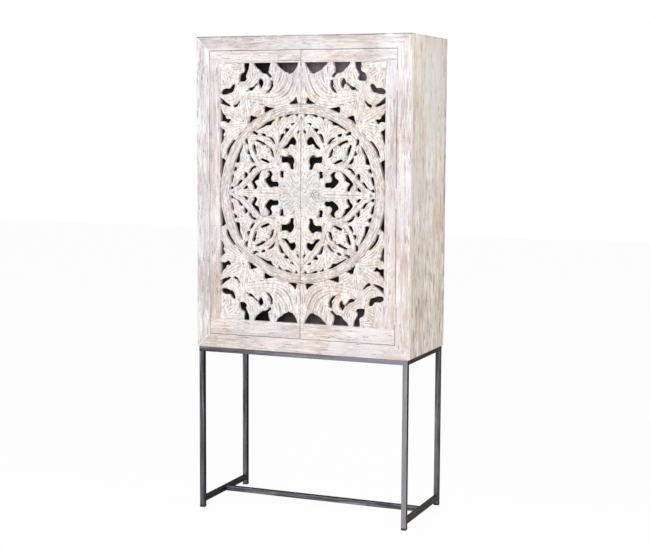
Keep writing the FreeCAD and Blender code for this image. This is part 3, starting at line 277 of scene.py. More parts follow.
def washedWood(name, grain, seed, own=None, inside=None, detail=None):
    # own holds one piece's own settings, inside stains its hidden faces, detail adds its marks
    look = {**wash, **(own or {})}
    thinned, worn = ([level - look["bare"] for level in look[key]] for key in ("thinned", "worn"))
    material, tree, shader, at = newMaterial(name)
    addNoises(tree, at, look["grain"], grain, seed, look["coarse"])
    addNoises(tree, at, look["spread"])
    # the wash itself, thick and white to thin, mottled by the brush; the patches count from their middle
    at["thinness"] = -look["thinness"]["patches"] / 2
    for layer, share in look["thinness"].items():
        at["thinness"] = addNode(tree, "Math", at[layer], share, at["thinness"], operation="MULTIPLY_ADD")
    at["hairs"] = shared(tree, (at["fine"], *look["opened"]))
    colour = layered(
        tree, linear(look["white"]), at,
        (look["thin"], ("thinness", *thinned)),
        # cool where the wash lies thick, tan where it has worn to the wood
        (look["lilac"], look["coolAt"], look["cool"]),
        (look["tan"], look["warmAt"], look["warm"], look["tanAt"]),
        (look["wood"], ("streaks", *worn), look["woodAt"], look["woodShare"] + look["bare"]),
        # dark hairlines of the open grain, short and broken, and longer splits
        (look["line"], "hairs", look["brokenAt"], look["hairs"]),
        (look["line"], ("splits", *look["split"]), look["splitShare"] * look["hairs"]))
    for marksOf in (detail, inside):
        colour = marksOf(tree, at, colour) if marksOf else colour
    sunk = addNode(tree, "Math", at["hairs"], look["sunk"], operation="MULTIPLY")
    height = addNode(tree, "Math", at["streaks"], look["raised"], sunk, operation="MULTIPLY_ADD")
    surface(tree, shader, colour, look["roughness"], height, look["relief"], look["bump"])
    return material


# Carved mango wood, washed and rubbed: chalky white on the high places, grey pigment left in the cuts and
# painted shade in them, tan on rubbed ridges, and fine crooked cracks where the thick wash has dried
carvedLook = {
    "chalk": "#fdf9f5", "back": "#e4dad3", "backLine": "#b3a396", "bump": 0.2 * mm,
    "noises": {"mottle": (14.0, 4.0, 0.6, 0.4, 0.45), "grain": (3.4, 3.0, 0.65, 0.0),
               "patches": (165.0, 3.0, 0.6, 0.0), "clouds": (380.0, 2.0, 0.5, 0.0),
               "sand": (7.7, 4.0, 0.7, 0.0), "crackle": (13.0, 3.0, 0.6, 1.2), "curls": (17.0, 1.0, 0.5, 2.4),
               "lines": (9.0, 4.0, 0.6, 0.0, 0.06)},
    "brushing": {"brush": (5.3, 4.0, 0.65, 0.0)}, "brushTurn": 0.05, "brushSeed": 0.37,
    # the middle as distances in metres, how ragged its edge is and how grey it turns
    "middle": (0.14, 0.06), "ragged": 0.05, "middleShare": 0.5,
    "cracked": (0.4, 0.56), "backLines": (0.36, 0.62), "backDepth": 0.3 * mm, "relief": 0.4,
    "layers": {
        "mottled": ("#d3cac3", ("mottle", 0.42, 0.66), 0.75),
        "tan": (wash["tan"], ("patches", 0.5, 0.7), ("mottle", 0.35, 0.6), 0.32),
        "cool": ("#e9e4ea", ("clouds", 0.5, 0.62), 0.5),
        "cream": ("#ecdfd6", ("clouds", 0.48, 0.36), 0.4),
        "low": ("#e6cfb9", ("z", 1.2, 0.9), ("x", -0.1, 0.12), ("mottle", 0.3, 0.6), 0.4),
        "handled": ("#ebecea", "middle"),
        "ring": ("#c4b8b3", ("brush", 0.42, 0.62), "onRing"),
        # grey pigment in the cuts, darkened more with their depth as painted shade
        "pigmentAndShadeInCuts": ("#6f6260", ("deep", 0.7, 2.0), 0.72),
        "flecks": ("#94877f", ("grain", 0.53, 0.66), 0.3),
        "grit": ("#a79a95", ("sand", 0.54, 0.64), 0.3),
        "cracks": ("#7d7470", ("crooked", 0.022, 0.006), "often", 0.5),
        "curls": ("#6f6260", ("curled", 0.035, 0.01), ("inward", 0.125, 0.085), 0.45),
        "ridges": (wash["tan"], ("ridge", 0.8, 2.6), ("patches", 0.5, 0.7), 0.25),
        "wornSpot": ("#d3bd9d", ("spot", 16 * mm, 11 * mm), ("grain", 0.3, 0.55), "left", 0.5),
        # darker ring round the knob: dirt, and a painted shadow under the knob
        "dirtAndKnobShadow": ("#8d8078", ("spot", 21 * mm, 14 * mm), "right", 0.4),
    },
}


def washedCarving(name, seed):
    look = carvedLook
    material, tree, shader, at = newMaterial(name)
    addNoises(tree, at, look["noises"], "Z", seed)
    # greyer in the middle, where hands have been and small curls crowd
    across = addNode(tree, "Math", at["x"], operation="ABSOLUTE")
    up = addNode(tree, "Math", at["z"], boardZ, operation="SUBTRACT")
    radius = addNode(tree, "VectorMath", addNode(tree, "CombineXYZ", across, up), operation="LENGTH")
    at["inward"] = addNode(tree, "Math", at["grain"], look["ragged"], radius, operation="MULTIPLY_ADD")
    at["middle"] = shared(tree, (at["inward"], *look["middle"]), look["middleShare"])
    # on the ring the brush ran round
    turn = addNode(tree, "Math", up, across, operation="ARCTAN2")
    turn = addNode(tree, "Math", turn, look["brushTurn"], operation="MULTIPLY")
    around = {"place": addNode(tree, "CombineXYZ", radius, turn, look["brushSeed"] * seed)}
    addNoises(tree, around, look["brushing"])
    at["brush"] = around["brush"]
    at["onRing"] = shared(tree, addNode(tree, "Math", radius, ringInner * mm, operation="GREATER_THAN"),
                          addNode(tree, "Math", radius, ringOuter * mm, operation="LESS_THAN"))
    # pigment and painted shade in the cuts, and cracks both where the wash is mottled and in the middle
    hollow = addNode(tree, "Attribute", attribute_name="hollow").outputs["Fac"]
    at["deep"] = addNode(tree, "Math", hollow, at["grain"], operation="ADD")
    at["ridge"] = addNode(tree, "Attribute", attribute_name="ridge").outputs["Fac"]
    at["crooked"], at["curled"] = apart(tree, at["crackle"], 0.5), apart(tree, at["curls"], 0.5)
    mottled = shared(tree, (at["mottle"], *look["cracked"]))
    at["often"] = addNode(tree, "Math", mottled, at["middle"], operation="MAXIMUM")
    # a round spot worn to the wood on the left door, opposite the knob, and a darker ring round the knob: dirt,
    # and a painted shadow under the knob
    aside = addNode(tree, "Math", across, carving["knobX"] * mm, operation="SUBTRACT")
    at["spot"] = addNode(tree, "VectorMath", addNode(tree, "CombineXYZ", aside, up), operation="LENGTH")
    at["left"] = addNode(tree, "Math", at["x"], 0.0, operation="LESS_THAN")
    at["right"] = addNode(tree, "Math", at["x"], 0.0, operation="GREATER_THAN")
    colour = layered(tree, linear(look["chalk"]), at, *look["layers"].values())
    # the flat back is only thinly washed, along the grain
    plain = laidOver(tree, linear(look["back"]), look["backLine"], (at["lines"], *look["backLines"]))
    behind = addNode(tree, "Math", at["y"], boardHigh.y - look["backDepth"], operation="GREATER_THAN")
    colour = addNode(tree, "Mix", behind, colour, plain, data_type="RGBA")
    surface(tree, shader, colour, wash["roughness"], at["grain"], look["relief"], look["bump"])
    return material


# Marks of single pieces: mitres, rubbed corners and the weathering of the sides
skin = 0.2 * mm
marks = {
    "noises": {"wander": (140.0, 3.0, 0.55, 0.0), "cracks": (15.0, 2.0, 0.5, 0.0, 0.16)},
    "stain": {"stain": (12.0, 4.0, 0.6, 0.0, 0.06)}, "seed": 8.2, "stainSeed": 4.4, "shadedBackSeed": 9.4,
    # the sides' height, wandering, and where and how much closer the cracks come
    "from": 0.3, "wandering": 0.6, "low": (1.5, 0.8), "rear": (0.1, 0.21), "closer": 0.09,
    # on the right the wash is cool and white at the top, and worn to tan and pink low down
    "right": (("#d9b79c", ("z", 1.45, 0.85), ("streaks", 0.38, 0.6), ("x", 0.3, 0.4), 0.42),
              ("#f3f5f6", ("z", 1.45, 1.75), ("streaks", 0.64, 0.44), ("x", 0.28, 0.36), 0.55)),
    "mitre": (3.6 * mm, 1.2 * mm), "mitreShare": 0.6,
    # pale, rubbed outer corners, and browner along the top edge
    "corner": ("#fffdfa", ("inward", 6.0 * mm, 1.5 * mm), ("streaks", 0.62, 0.4), 0.5),
    "topEdge": (wash["line"], ("fromTop", 6.0 * mm, 2.0 * mm), ("streaks", 0.34, 0.52), 0.8),
    # tan and stained low down, a tan band behind the front, thick grey-white paint high up towards the back,
    # a brown rear edge, short dark cracks, and a dark rim under the top
    "side": (("#b49a80", ("level", 1.35, 0.7), ("streaks", 0.4, 0.62), 0.5),
             ("#cba988", ("y", frontY + 56 * mm, frontY + 30 * mm), ("streaks", 0.25, 0.6), 0.42),
             ("#dfdcd6", ("level", 1.35, 1.62), ("y", -0.12, 0.06), 0.6),
             ("#867b72", ("y", 0.19, 0.225), ("streaks", 0.42, 0.56), 0.6),
             ("#7d6a58", ("cracked", 0.66, 0.71), 0.62),
             ("#9c9288", ("z", caseHigh.z - 9 * mm, caseHigh.z - 2 * mm), ("streaks", 0.42, 0.58), 0.45)),
    # the back's inner face: its painted shade and painted light, and where the light is painted, in metres from
    # the carving's middle
    "paintedShade": "#3a3436", "paintedLight": "#dcd0da", "above": (0.3, 0.46), "below": (0.3, 0.5), "belowShare": 0.5,
    "leftOf": (-0.36, -0.12), "lines": (-0.2, 0.6),
}
# Mango wood under a thin brown stain: even and dull, darker where the grain drank it
stain = {"colour": "#75685f", "deep": "#594e47", "noises": {"streaks": (9.0, 4.0, 0.6, 0.0, 0.05)},
         "drunk": (0.35, 0.65), "roughness": 0.5, "relief": 0.3, "bump": 0.3 * mm}


def rightWear(tree, at, colour):
    return layered(tree, colour, at, *marks["right"])


def mitreMarks(light):
    def apply(tree, at, colour):
        # distance from both mitres' planes, which run at 45 degrees through the outer corners
        outward = addNode(tree, "Math", at["x"], operation="ABSOLUTE")
        at["inward"] = addNode(tree, "Math", caseHigh.x, outward, operation="SUBTRACT")
        at["fromTop"] = addNode(tree, "Math", caseHigh.z, at["z"], operation="SUBTRACT")
        fromFoot = addNode(tree, "Math", at["z"], caseLow.z, operation="SUBTRACT")
        up = addNode(tree, "Math", fromFoot, at["fromTop"], operation="MINIMUM")
        at["mitre"] = apart(tree, at["inward"], up)
        line = (light, ("mitre", *marks["mitre"]), marks["mitreShare"])
        colour = layered(tree, colour, at, line, marks["corner"])
        return layered(tree, rightWear(tree, at, colour), at, marks["topEdge"])
    return apply


def sideMarks(tree, at, colour):
    addNoises(tree, at, marks["noises"], "Z", marks["seed"])
    level = addNode(tree, "Math", at["z"], marks["from"], operation="SUBTRACT")
    at["level"] = addNode(tree, "Math", at["wander"], marks["wandering"], level, operation="MULTIPLY_ADD")
    # the cracks are closer together low down and at the back
    low, rear = shared(tree, (at["level"], *marks["low"])), shared(tree, (at["y"], *marks["rear"]))
    often = addNode(tree, "Math", low, rear, operation="MAXIMUM")
    at["cracked"] = addNode(tree, "Math", often, marks["closer"], at["cracks"], operation="MULTIPLY_ADD")
    return layered(tree, colour, at, *marks["side"])


def staining(axis, start, side):
    # the faces beyond a plane are stained dark inside the case, the stain thinner between the grain's lines
    def apply(tree, at, colour):
        beyond = addNode(tree, "Math", at[axis], start, operation=side)
        addNoises(tree, at, marks["stain"], "X" if axis == "z" else "Z", marks["stainSeed"])
        stained = laidOver(tree, linear(wash["dark"]), wash["deepStain"], (at["stain"], *stain["drunk"]))
        return addNode(tree, "Mix", beyond, colour, stained, data_type="RGBA")
    return apply


def innerBack(tree, at, colour):
    # the back's inner face: painted shade in the middle and to the left, painted light above and less so below
    above = shared(tree, (at["z"], *(boardZ + far for far in marks["above"])))
    below = shared(tree, (at["z"], *(boardZ - far for far in marks["below"])), marks["belowShare"])
    paintedLight = addNode(tree, "Math", above, below, operation="MAXIMUM")
    addNoises(tree, at, marks["stain"], "Z", marks["shadedBackSeed"])
    grain = addNode(tree, "MapRange", at["stain"], *marks["lines"])
    # painted shade, lifted to painted light above and below the middle and to the right
    shade = laidOver(tree, linear(marks["paintedShade"]), marks["paintedLight"], (at["x"], *marks["leftOf"]), paintedLight, grain)
    inside = addNode(tree, "Math", at["y"], beforeBack + skin, operation="LESS_THAN")
    return addNode(tree, "Mix", inside, colour, shade, data_type="RGBA")


def stainedWood(name, grain, seed):
    material, tree, shader, at = newMaterial(name)
    addNoises(tree, at, stain["noises"], grain, seed)
    colour = laidOver(tree, linear(stain["colour"]), stain["deep"], (at["streaks"], *stain["drunk"]))
    surface(tree, shader, colour, stain["roughness"], at["streaks"], stain["relief"], stain["bump"])
    return material


# Mild steel tube, blackened in acid and waxed: drawn lines along the tube. The faces towards front and back are
# painted paler and bluish as a painted reflection of the lamps, the other faces nearly black as painted shade,
# with a painted brown reflection on the right legs' sides
metal = {
    "deep": "#45424a", "side": "#221d1b", "edge": "#4c4c4c", "metallic": 0.85, "smooth": 0.37, "rough": 0.65,
    "bump": 0.15 * mm, "relief": 0.25,
    "noises": {"clouds": (110.0, 4.0, 0.6, 0.0), "drawn": (4.8, 3.0, 0.6, 0.0, 0.03)},
    # where the painted reflection on the fronts rises sideways and the painted brown reflection begins, in
    # metres, and how squarely a front faces ahead
    "cloudy": 0.3, "sideways": (-0.25, 0.6), "rear": (0.12, 0.2), "low": (0.55, 0.15), "high": (0.62, 0.645),
    "highShare": 0.8, "squarely": (0.35, 0.8), "roughest": 1.6,
    # the fronts: drawn lines, then painted paler, more so towards the right and the front half, a painted
    # reflection
    "litFronts": (("#75717a", ("drawn", 0.36, 0.64)),
               ("#aaa7b1", ("drawn", 0.45, 0.7), ("clouds", 0.46, 0.7), 0.8),
               ("#aaa7b1", "right", "ahead", 0.6)),
    # the side faces are painted nearly black as painted shade, with a painted brown reflection on the right
    # low, high and to the rear, greyer low on the left
    "sides": (("#45424a", ("drawn", 0.4, 0.7), 0.45),
              ("#6b655f", "browned", ("x", 0.2, 0.42), ("drawn", 0.2, 0.55)),
              ("#45424a", ("z", 0.16, 0.1), ("x", -0.2, -0.42), ("drawn", 0.2, 0.55))),
}


def gunmetal(name, grain, seed):
    material, tree, shader, at = newMaterial(name)
    addNoises(tree, at, metal["noises"], grain, seed)
    # the fronts painted lighter towards the right: a painted reflection of the lamps
    right = addNode(tree, "Math", at["clouds"], metal["cloudy"], at["x"], operation="MULTIPLY_ADD")
    at["right"] = addNode(tree, "MapRange", right, *metal["sideways"])
    at["ahead"] = addNode(tree, "Math", at["y"], 0.0, operation="LESS_THAN")
    # where the right legs' sides get the painted brown reflection: low, high and to the rear
    low = shared(tree, (at["z"], *metal["low"]))
    high = shared(tree, (at["z"], *metal["high"]), metal["highShare"])
    ends = addNode(tree, "Math", low, high, operation="MAXIMUM")
    rear = shared(tree, (at["y"], *metal["rear"]))
    at["browned"] = addNode(tree, "Math", ends, rear, operation="MAXIMUM")
    litFronts = layered(tree, linear(metal["deep"]), at, *metal["litFronts"])
    sides = layered(tree, linear(metal["side"]), at, *metal["sides"])
    # faces towards front or back take the lit copy, the others the shaded copy: painted reflection and painted
    # shade
    facing = addNode(tree, "SeparateXYZ", addNode(tree, "TexCoord").outputs["Normal"]).outputs["Y"]
    facing = shared(tree, (addNode(tree, "Math", facing, operation="ABSOLUTE"), *metal["squarely"]))
    colour = addNode(tree, "Mix", facing, sides, litFronts, data_type="RGBA")
    shader.inputs["Metallic"].default_value = metal["metallic"]
    shader.inputs["Specular Tint"].default_value = linear(metal["edge"])
    uneven = addNode(tree, "MapRange", at["drawn"], 0.0, metal["roughest"], metal["smooth"], metal["rough"])
    surface(tree, shader, colour, uneven, at["drawn"], metal["relief"], metal["bump"])
    return material


# Small parts in one even finish: their specks' size in millimetres and how much of them shows
even = {
    "relief": 0.2, "bump": 0.1 * mm, "grain": (3.0, 0.6, 0.0), "specked": (0.5, 0.7),
    # zinc-plated steel of screws and catches: dulled in the air, a satin grey with brownish specks
    "dullZinc": {"colour": "#b5b0a8", "speck": "#8a8274", "size": 2.5, "amount": 0.4, "roughness": 0.4,
                 "metallic": 0.85},
    # steel hinges, painted over with the wash: off-white, greyer in specks where the paint is thin
    "washedHingeSteel": {"colour": "#e6ddd8", "speck": "#a89c96", "size": 6.3, "amount": 0.6,
                         "roughness": 0.55, "metallic": 0.15},
    # moulded black polyethylene of the foot caps: matt, scuffed a little grey
    "blackPolyethylene": {"colour": "#0d0d0e", "speck": "#1b1b1d", "size": 2.5, "amount": 0.4,
                          "roughness": 0.75},
    # turned and polished bone of the plain knob: warm white with brown pores
    "polishedBoneBlank": {"colour": "#f3f0ee", "speck": "#4f3f33", "size": 6.3, "amount": 1.0,
                          "roughness": 0.3},
}


def speckled(name):
    look = even[name]
    material, tree, shader, at = newMaterial(name)
    addNoises(tree, at, {"specks": (look["size"], *even["grain"])})
    shader.inputs["Metallic"].default_value = look.get("metallic", 0.0)
    mask = (at["specks"], *even["specked"])
    colour = laidOver(tree, linear(look["colour"]), look["speck"], mask, look["amount"])
    surface(tree, shader, colour, look["roughness"], at["specks"], even["relief"], even["bump"])
    return material


def dress(node, material):
    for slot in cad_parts[node].material_slots:
        slot.material = material


innerX = caseLow.x
# the first noise seed of each group of wooden parts, and the step from one part to the next
seeds = {"case": 3, "faceFrame": 11, "doors": 25, "carvings": 31, "shelves": 2, "step": 3}
# the sides stand edge-on to the camera, so their grain is drawn coarser to show at all
sideLook = {"white": "#fbf7f0", "thin": "#dbcfc2", "bare": 0.03, "warm": 0.3, "cool": 0.25, "hairs": 0.9,
            "line": "#7c6855", "coarse": 1.6}
backLook = {**sideLook, "bare": 0.1, "hairs": 0.4, "coarse": 1.1}
above, below = "GREATER_THAN", "LESS_THAN"
for seed, (part, grain, look, inside, detail) in enumerate((
        ("side_panel_left", "Z", sideLook, staining("x", -innerX - skin, above), sideMarks),
        ("side_panel_right", "Z", sideLook, staining("x", innerX + skin, below), sideMarks),
        ("top_panel", "X", sideLook, staining("z", underTop + skin, below), None),
        ("bottom_panel", "X", sideLook, staining("z", aboveBottom - skin, above), None),
        ("back_panel", "Z", backLook, innerBack, None)), seeds["case"]):
    dress(part, washedWood("whitewashed_" + part, grain, seed, look, inside, detail))
pale, greyed = "#fffdfb", "#cfc6c1"
frameLooks = {"face_frame_top": {"white": "#ece7e5"}, "face_frame_bottom": {"white": "#f3ecea"},
              "face_frame_left": {"white": "#fdfbfc", "thin": "#c9c2c4", "warm": 0.1}}
for index, (part, grain, light) in enumerate((
        ("face_frame_left", "Z", pale), ("face_frame_right", "Z", greyed),
        ("face_frame_top", "X", greyed), ("face_frame_bottom", "X", pale))):
    own, seed = frameLooks.get(part), seeds["faceFrame"] + seeds["step"] * index
    dress(part, washedWood("whitewashed_" + part, grain, seed, own, detail=mitreMarks(light)))
doorParts = [(side + part, grain) for part, grain in (
    ("door_stile", "Z"), ("door_top_rail", "X"), ("door_bottom_rail", "X"), ("carved_panel", "Z"))
    for side in ("left_", "right_")]
for index, (part, grain) in enumerate(doorParts + [("door_stop", "X")]):
    wear = rightWear if part.startswith("right") else None
    own = {"white": "#f6f0ee", "bare": -0.06 if part == "right_door_bottom_rail" else 0.0}
    seed = seeds["doors"] + seeds["step"] * index
    dress(part, washedWood("whitewashed_" + part, grain, seed, own, detail=wear))
shelfWood = stainedWood("stainedShelf", "X", seeds["shelves"])
for part in ("lower_shelf", "upper_shelf", "lower_shelf_battens", "upper_shelf_battens"):
    dress(part, shelfWood)
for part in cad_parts:
    if part.startswith("stand_") and "screws" not in part:
        low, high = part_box(part)
        longest = "XYZ"[max(range(3), key=lambda k: high[k] - low[k])]
        dress(part, gunmetal("gunmetal_" + part, longest, len(part)))
zinc, washedHinge = speckled("dullZinc"), speckled("washedHingeSteel")
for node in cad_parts:
    if "screw" in node or "strike" in node or "magnets" in node:
        dress(node, zinc)
    elif "hinge" in node:
        dress(node, washedHinge)
dress("foot_caps", speckled("blackPolyethylene"))
dress("knob", speckled("polishedBoneBlank"))
print("stage: frame dressed")

# Carving: openings of the upper right quarter, in tenths of the carver's squares across and up. Those inside
# the ring are measured to its inner edge
insideShares = (
    ((12, 304), (25, 304), (22, 292), (16, 290)),
    ((35, 303), (58, 300), (69, 298), (65, 290), (60, 288), (49, 296)),
    ((77, 295), (97, 290), (97, 282), (91, 277), (85, 286)),
    ((109, 286), (134, 276), (158, 264), (192, 241), (186, 238), (166, 250), (146, 260), (127, 259),
     (123, 272)),
    ((23, 271), (46, 268), (41, 255), (32, 262)),
    ((47, 247), (62, 251), (75, 245), (65, 232), (54, 236)),
    ((6, 247), (22, 234), (18, 227), (7, 231)),
    ((19, 204), (20, 187), (32, 183), (44, 190), (50, 185), (54, 176), (70, 170), (79, 168), (73, 180),
     (61, 190), (52, 206), (42, 218), (30, 214)),
    ((69, 227), (80, 212), (89, 192), (97, 192), (93, 213), (87, 227), (76, 230)),
    ((106, 189), (112, 203), (123, 213), (142, 219), (138, 211), (127, 203), (115, 189)),
    ((145, 184), (155, 194), (174, 203), (195, 208), (192, 199), (173, 192), (158, 182)),
    ((146, 222), (153, 229), (171, 230), (168, 220), (152, 216)),
    ((180, 225), (189, 233), (199, 240), (210, 231), (199, 225), (185, 220)),
    ((108, 133), (127, 143), (129, 157), (135, 170), (127, 177), (117, 161), (114, 148)),
    ((184, 142), (194, 147), (202, 164), (208, 184), (200, 191), (190, 175), (187, 160)),
    ((129, 114), (148, 116), (163, 122), (176, 131), (164, 135), (147, 129), (136, 122)),
    ((211, 146), (232, 148), (230, 161), (222, 171), (217, 158)),
    ((191, 114), (208, 117), (218, 129), (219, 142), (208, 138), (199, 126)),
    ((220, 181), (233, 188), (242, 198), (233, 211), (223, 210), (225, 196)),
    ((243, 186), (252, 159), (261, 140), (260, 116), (282, 113), (277, 133), (268, 154), (255, 176),
     (248, 184)),
    ((29, 92), (48, 92), (50, 110), (61, 120), (82, 116), (87, 125), (86, 146), (76, 143), (62, 140),
     (50, 151), (39, 145), (30, 132), (29, 120), (35, 108)),
    ((69, 87), (93, 86), (89, 74), (91, 60), (71, 59), (74, 73)),
    ((95, 24), (116, 28), (129, 21), (140, 28), (148, 38), (157, 52), (148, 60), (139, 67), (137, 75),
     (145, 89), (129, 85), (116, 72), (125, 62), (124, 49), (115, 44), (96, 46)),
    ((164, 82), (177, 69), (179, 52), (192, 48), (198, 42), (187, 29), (186, 13), (203, 14), (204, 29),
     (216, 41), (204, 55), (192, 68), (176, 81)),
    ((188, 99), (203, 91), (214, 78), (224, 76), (219, 90), (208, 101), (193, 106)),
    ((225, 68), (240, 54), (245, 66), (241, 83), (230, 81)),
    ((249, 49), (252, 39), (266, 24), (273, 27), (267, 43), (258, 52)),
    ((226, 26), (229, 14), (247, 11), (243, 21), (233, 30)),
    ((271, 92), (283, 82), (290, 80), (288, 92), (284, 101), (278, 100)),
    ((283, 66), (287, 51), (292, 36), (300, 36), (298, 53), (294, 70), (286, 70)),
    ((282, 19), (294, 11), (301, 10), (301, 25), (293, 25)),
)
outsideShares = (
    ((278, 208), (289, 196), (302, 177), (310, 154), (317, 144), (322, 162), (313, 181), (298, 201),
     (283, 214)),
    ((110, 334), (132, 328), (158, 315), (158, 330), (157, 346), (136, 339)),
    ((183, 299), (204, 289), (224, 270), (228, 273), (220, 292), (216, 311), (199, 304)),
    ((322, 123), (330, 100), (336, 74), (341, 59), (354, 62), (354, 90), (354, 146), (336, 138),
     (323, 130)),
    ((319, 243), (329, 235), (329, 219), (334, 204), (340, 194), (354, 196), (354, 266), (340, 256),
     (329, 250)),
    ((296, 294), (305, 281), (314, 272), (324, 284), (334, 282), (354, 280), (354, 342), (340, 332),
     (333, 312), (322, 307), (321, 295), (308, 292)),
    ((9, 519), (12, 504), (21, 490), (29, 476), (40, 466), (51, 463), (60, 471), (73, 471), (81, 481),
     (92, 486), (101, 497), (109, 508), (111, 519)),
    ((132, 519), (131, 504), (137, 486), (137, 472), (129, 463), (120, 456), (128, 448), (137, 456),
     (147, 467), (166, 466), (173, 477), (181, 482), (191, 488), (201, 501), (204, 519)),
    ((218, 519), (217, 498), (220, 482), (230, 470), (233, 458), (226, 445), (237, 437), (250, 437),
     (265, 436), (263, 455), (259, 467), (244, 472), (242, 483), (246, 498), (239, 519)),
    ((276, 425), (292, 428), (300, 417), (305, 409), (320, 412), (333, 408), (343, 399), (342, 388),
     (328, 388), (314, 387), (305, 394), (289, 393), (283, 405)),
    ((118, 442), (116, 420), (123, 405), (136, 394), (150, 392), (142, 403), (134, 413), (131, 424),
     (130, 442)),
    ((160, 436), (158, 424), (166, 412), (173, 409), (179, 424), (186, 433), (178, 448), (169, 448)),
    ((183, 430), (195, 413), (204, 403), (214, 399), (228, 407), (220, 414), (209, 415), (198, 422),
     (190, 432)),
    ((256, 364), (264, 348), (274, 338), (288, 336), (290, 348), (278, 350), (270, 356), (264, 365)),
    ((297, 338), (310, 342), (324, 346), (338, 352), (354, 357), (354, 382), (338, 375), (325, 364),
     (313, 355), (302, 350)),
    ((13, 353), (60, 351), (46, 360), (34, 367), (26, 380), (20, 374), (18, 362)),
)


def fromSquares(points, inside=False):
    # tenths of a square to millimetres, as the construction has them
    out = []
    for across, up in np.reshape(points, (-1, 2)) / 10:
        x = ringOuter * across / carving["across"]
        y = ringOuter * up / carving["up"]
        beyond = (up - carving["up"]) / (carving["fieldUp"] - carving["up"])
        if inside:
            y = ringInner * up / carving["innerUp"]
        elif beyond > 0:
            y = ringOuter + beyond * (boardUp - ringOuter)
        out.append((x, y))
    return np.array(out)


def smoothLine(points, closed, parts=7):
    # the curve of the second degree that the points steer
    count = len(points)
    spans = range(count) if closed else range(1, count - 1)
    line = [] if closed else [points[0]]
    steps = np.linspace(0, 1, parts, endpoint=False)[:, None]
    for k in spans:
        before, here, after = points[k - 1], points[k], points[(k + 1) % count]
        first = (before + here) / 2 if closed or k > 1 else before
        last = (here + after) / 2 if closed or k < count - 2 else after
        line.extend((1 - steps) ** 2 * first + 2 * steps * (1 - steps) * here + steps ** 2 * last)
    if not closed:
        line.append(points[-1])
    return np.array(line)


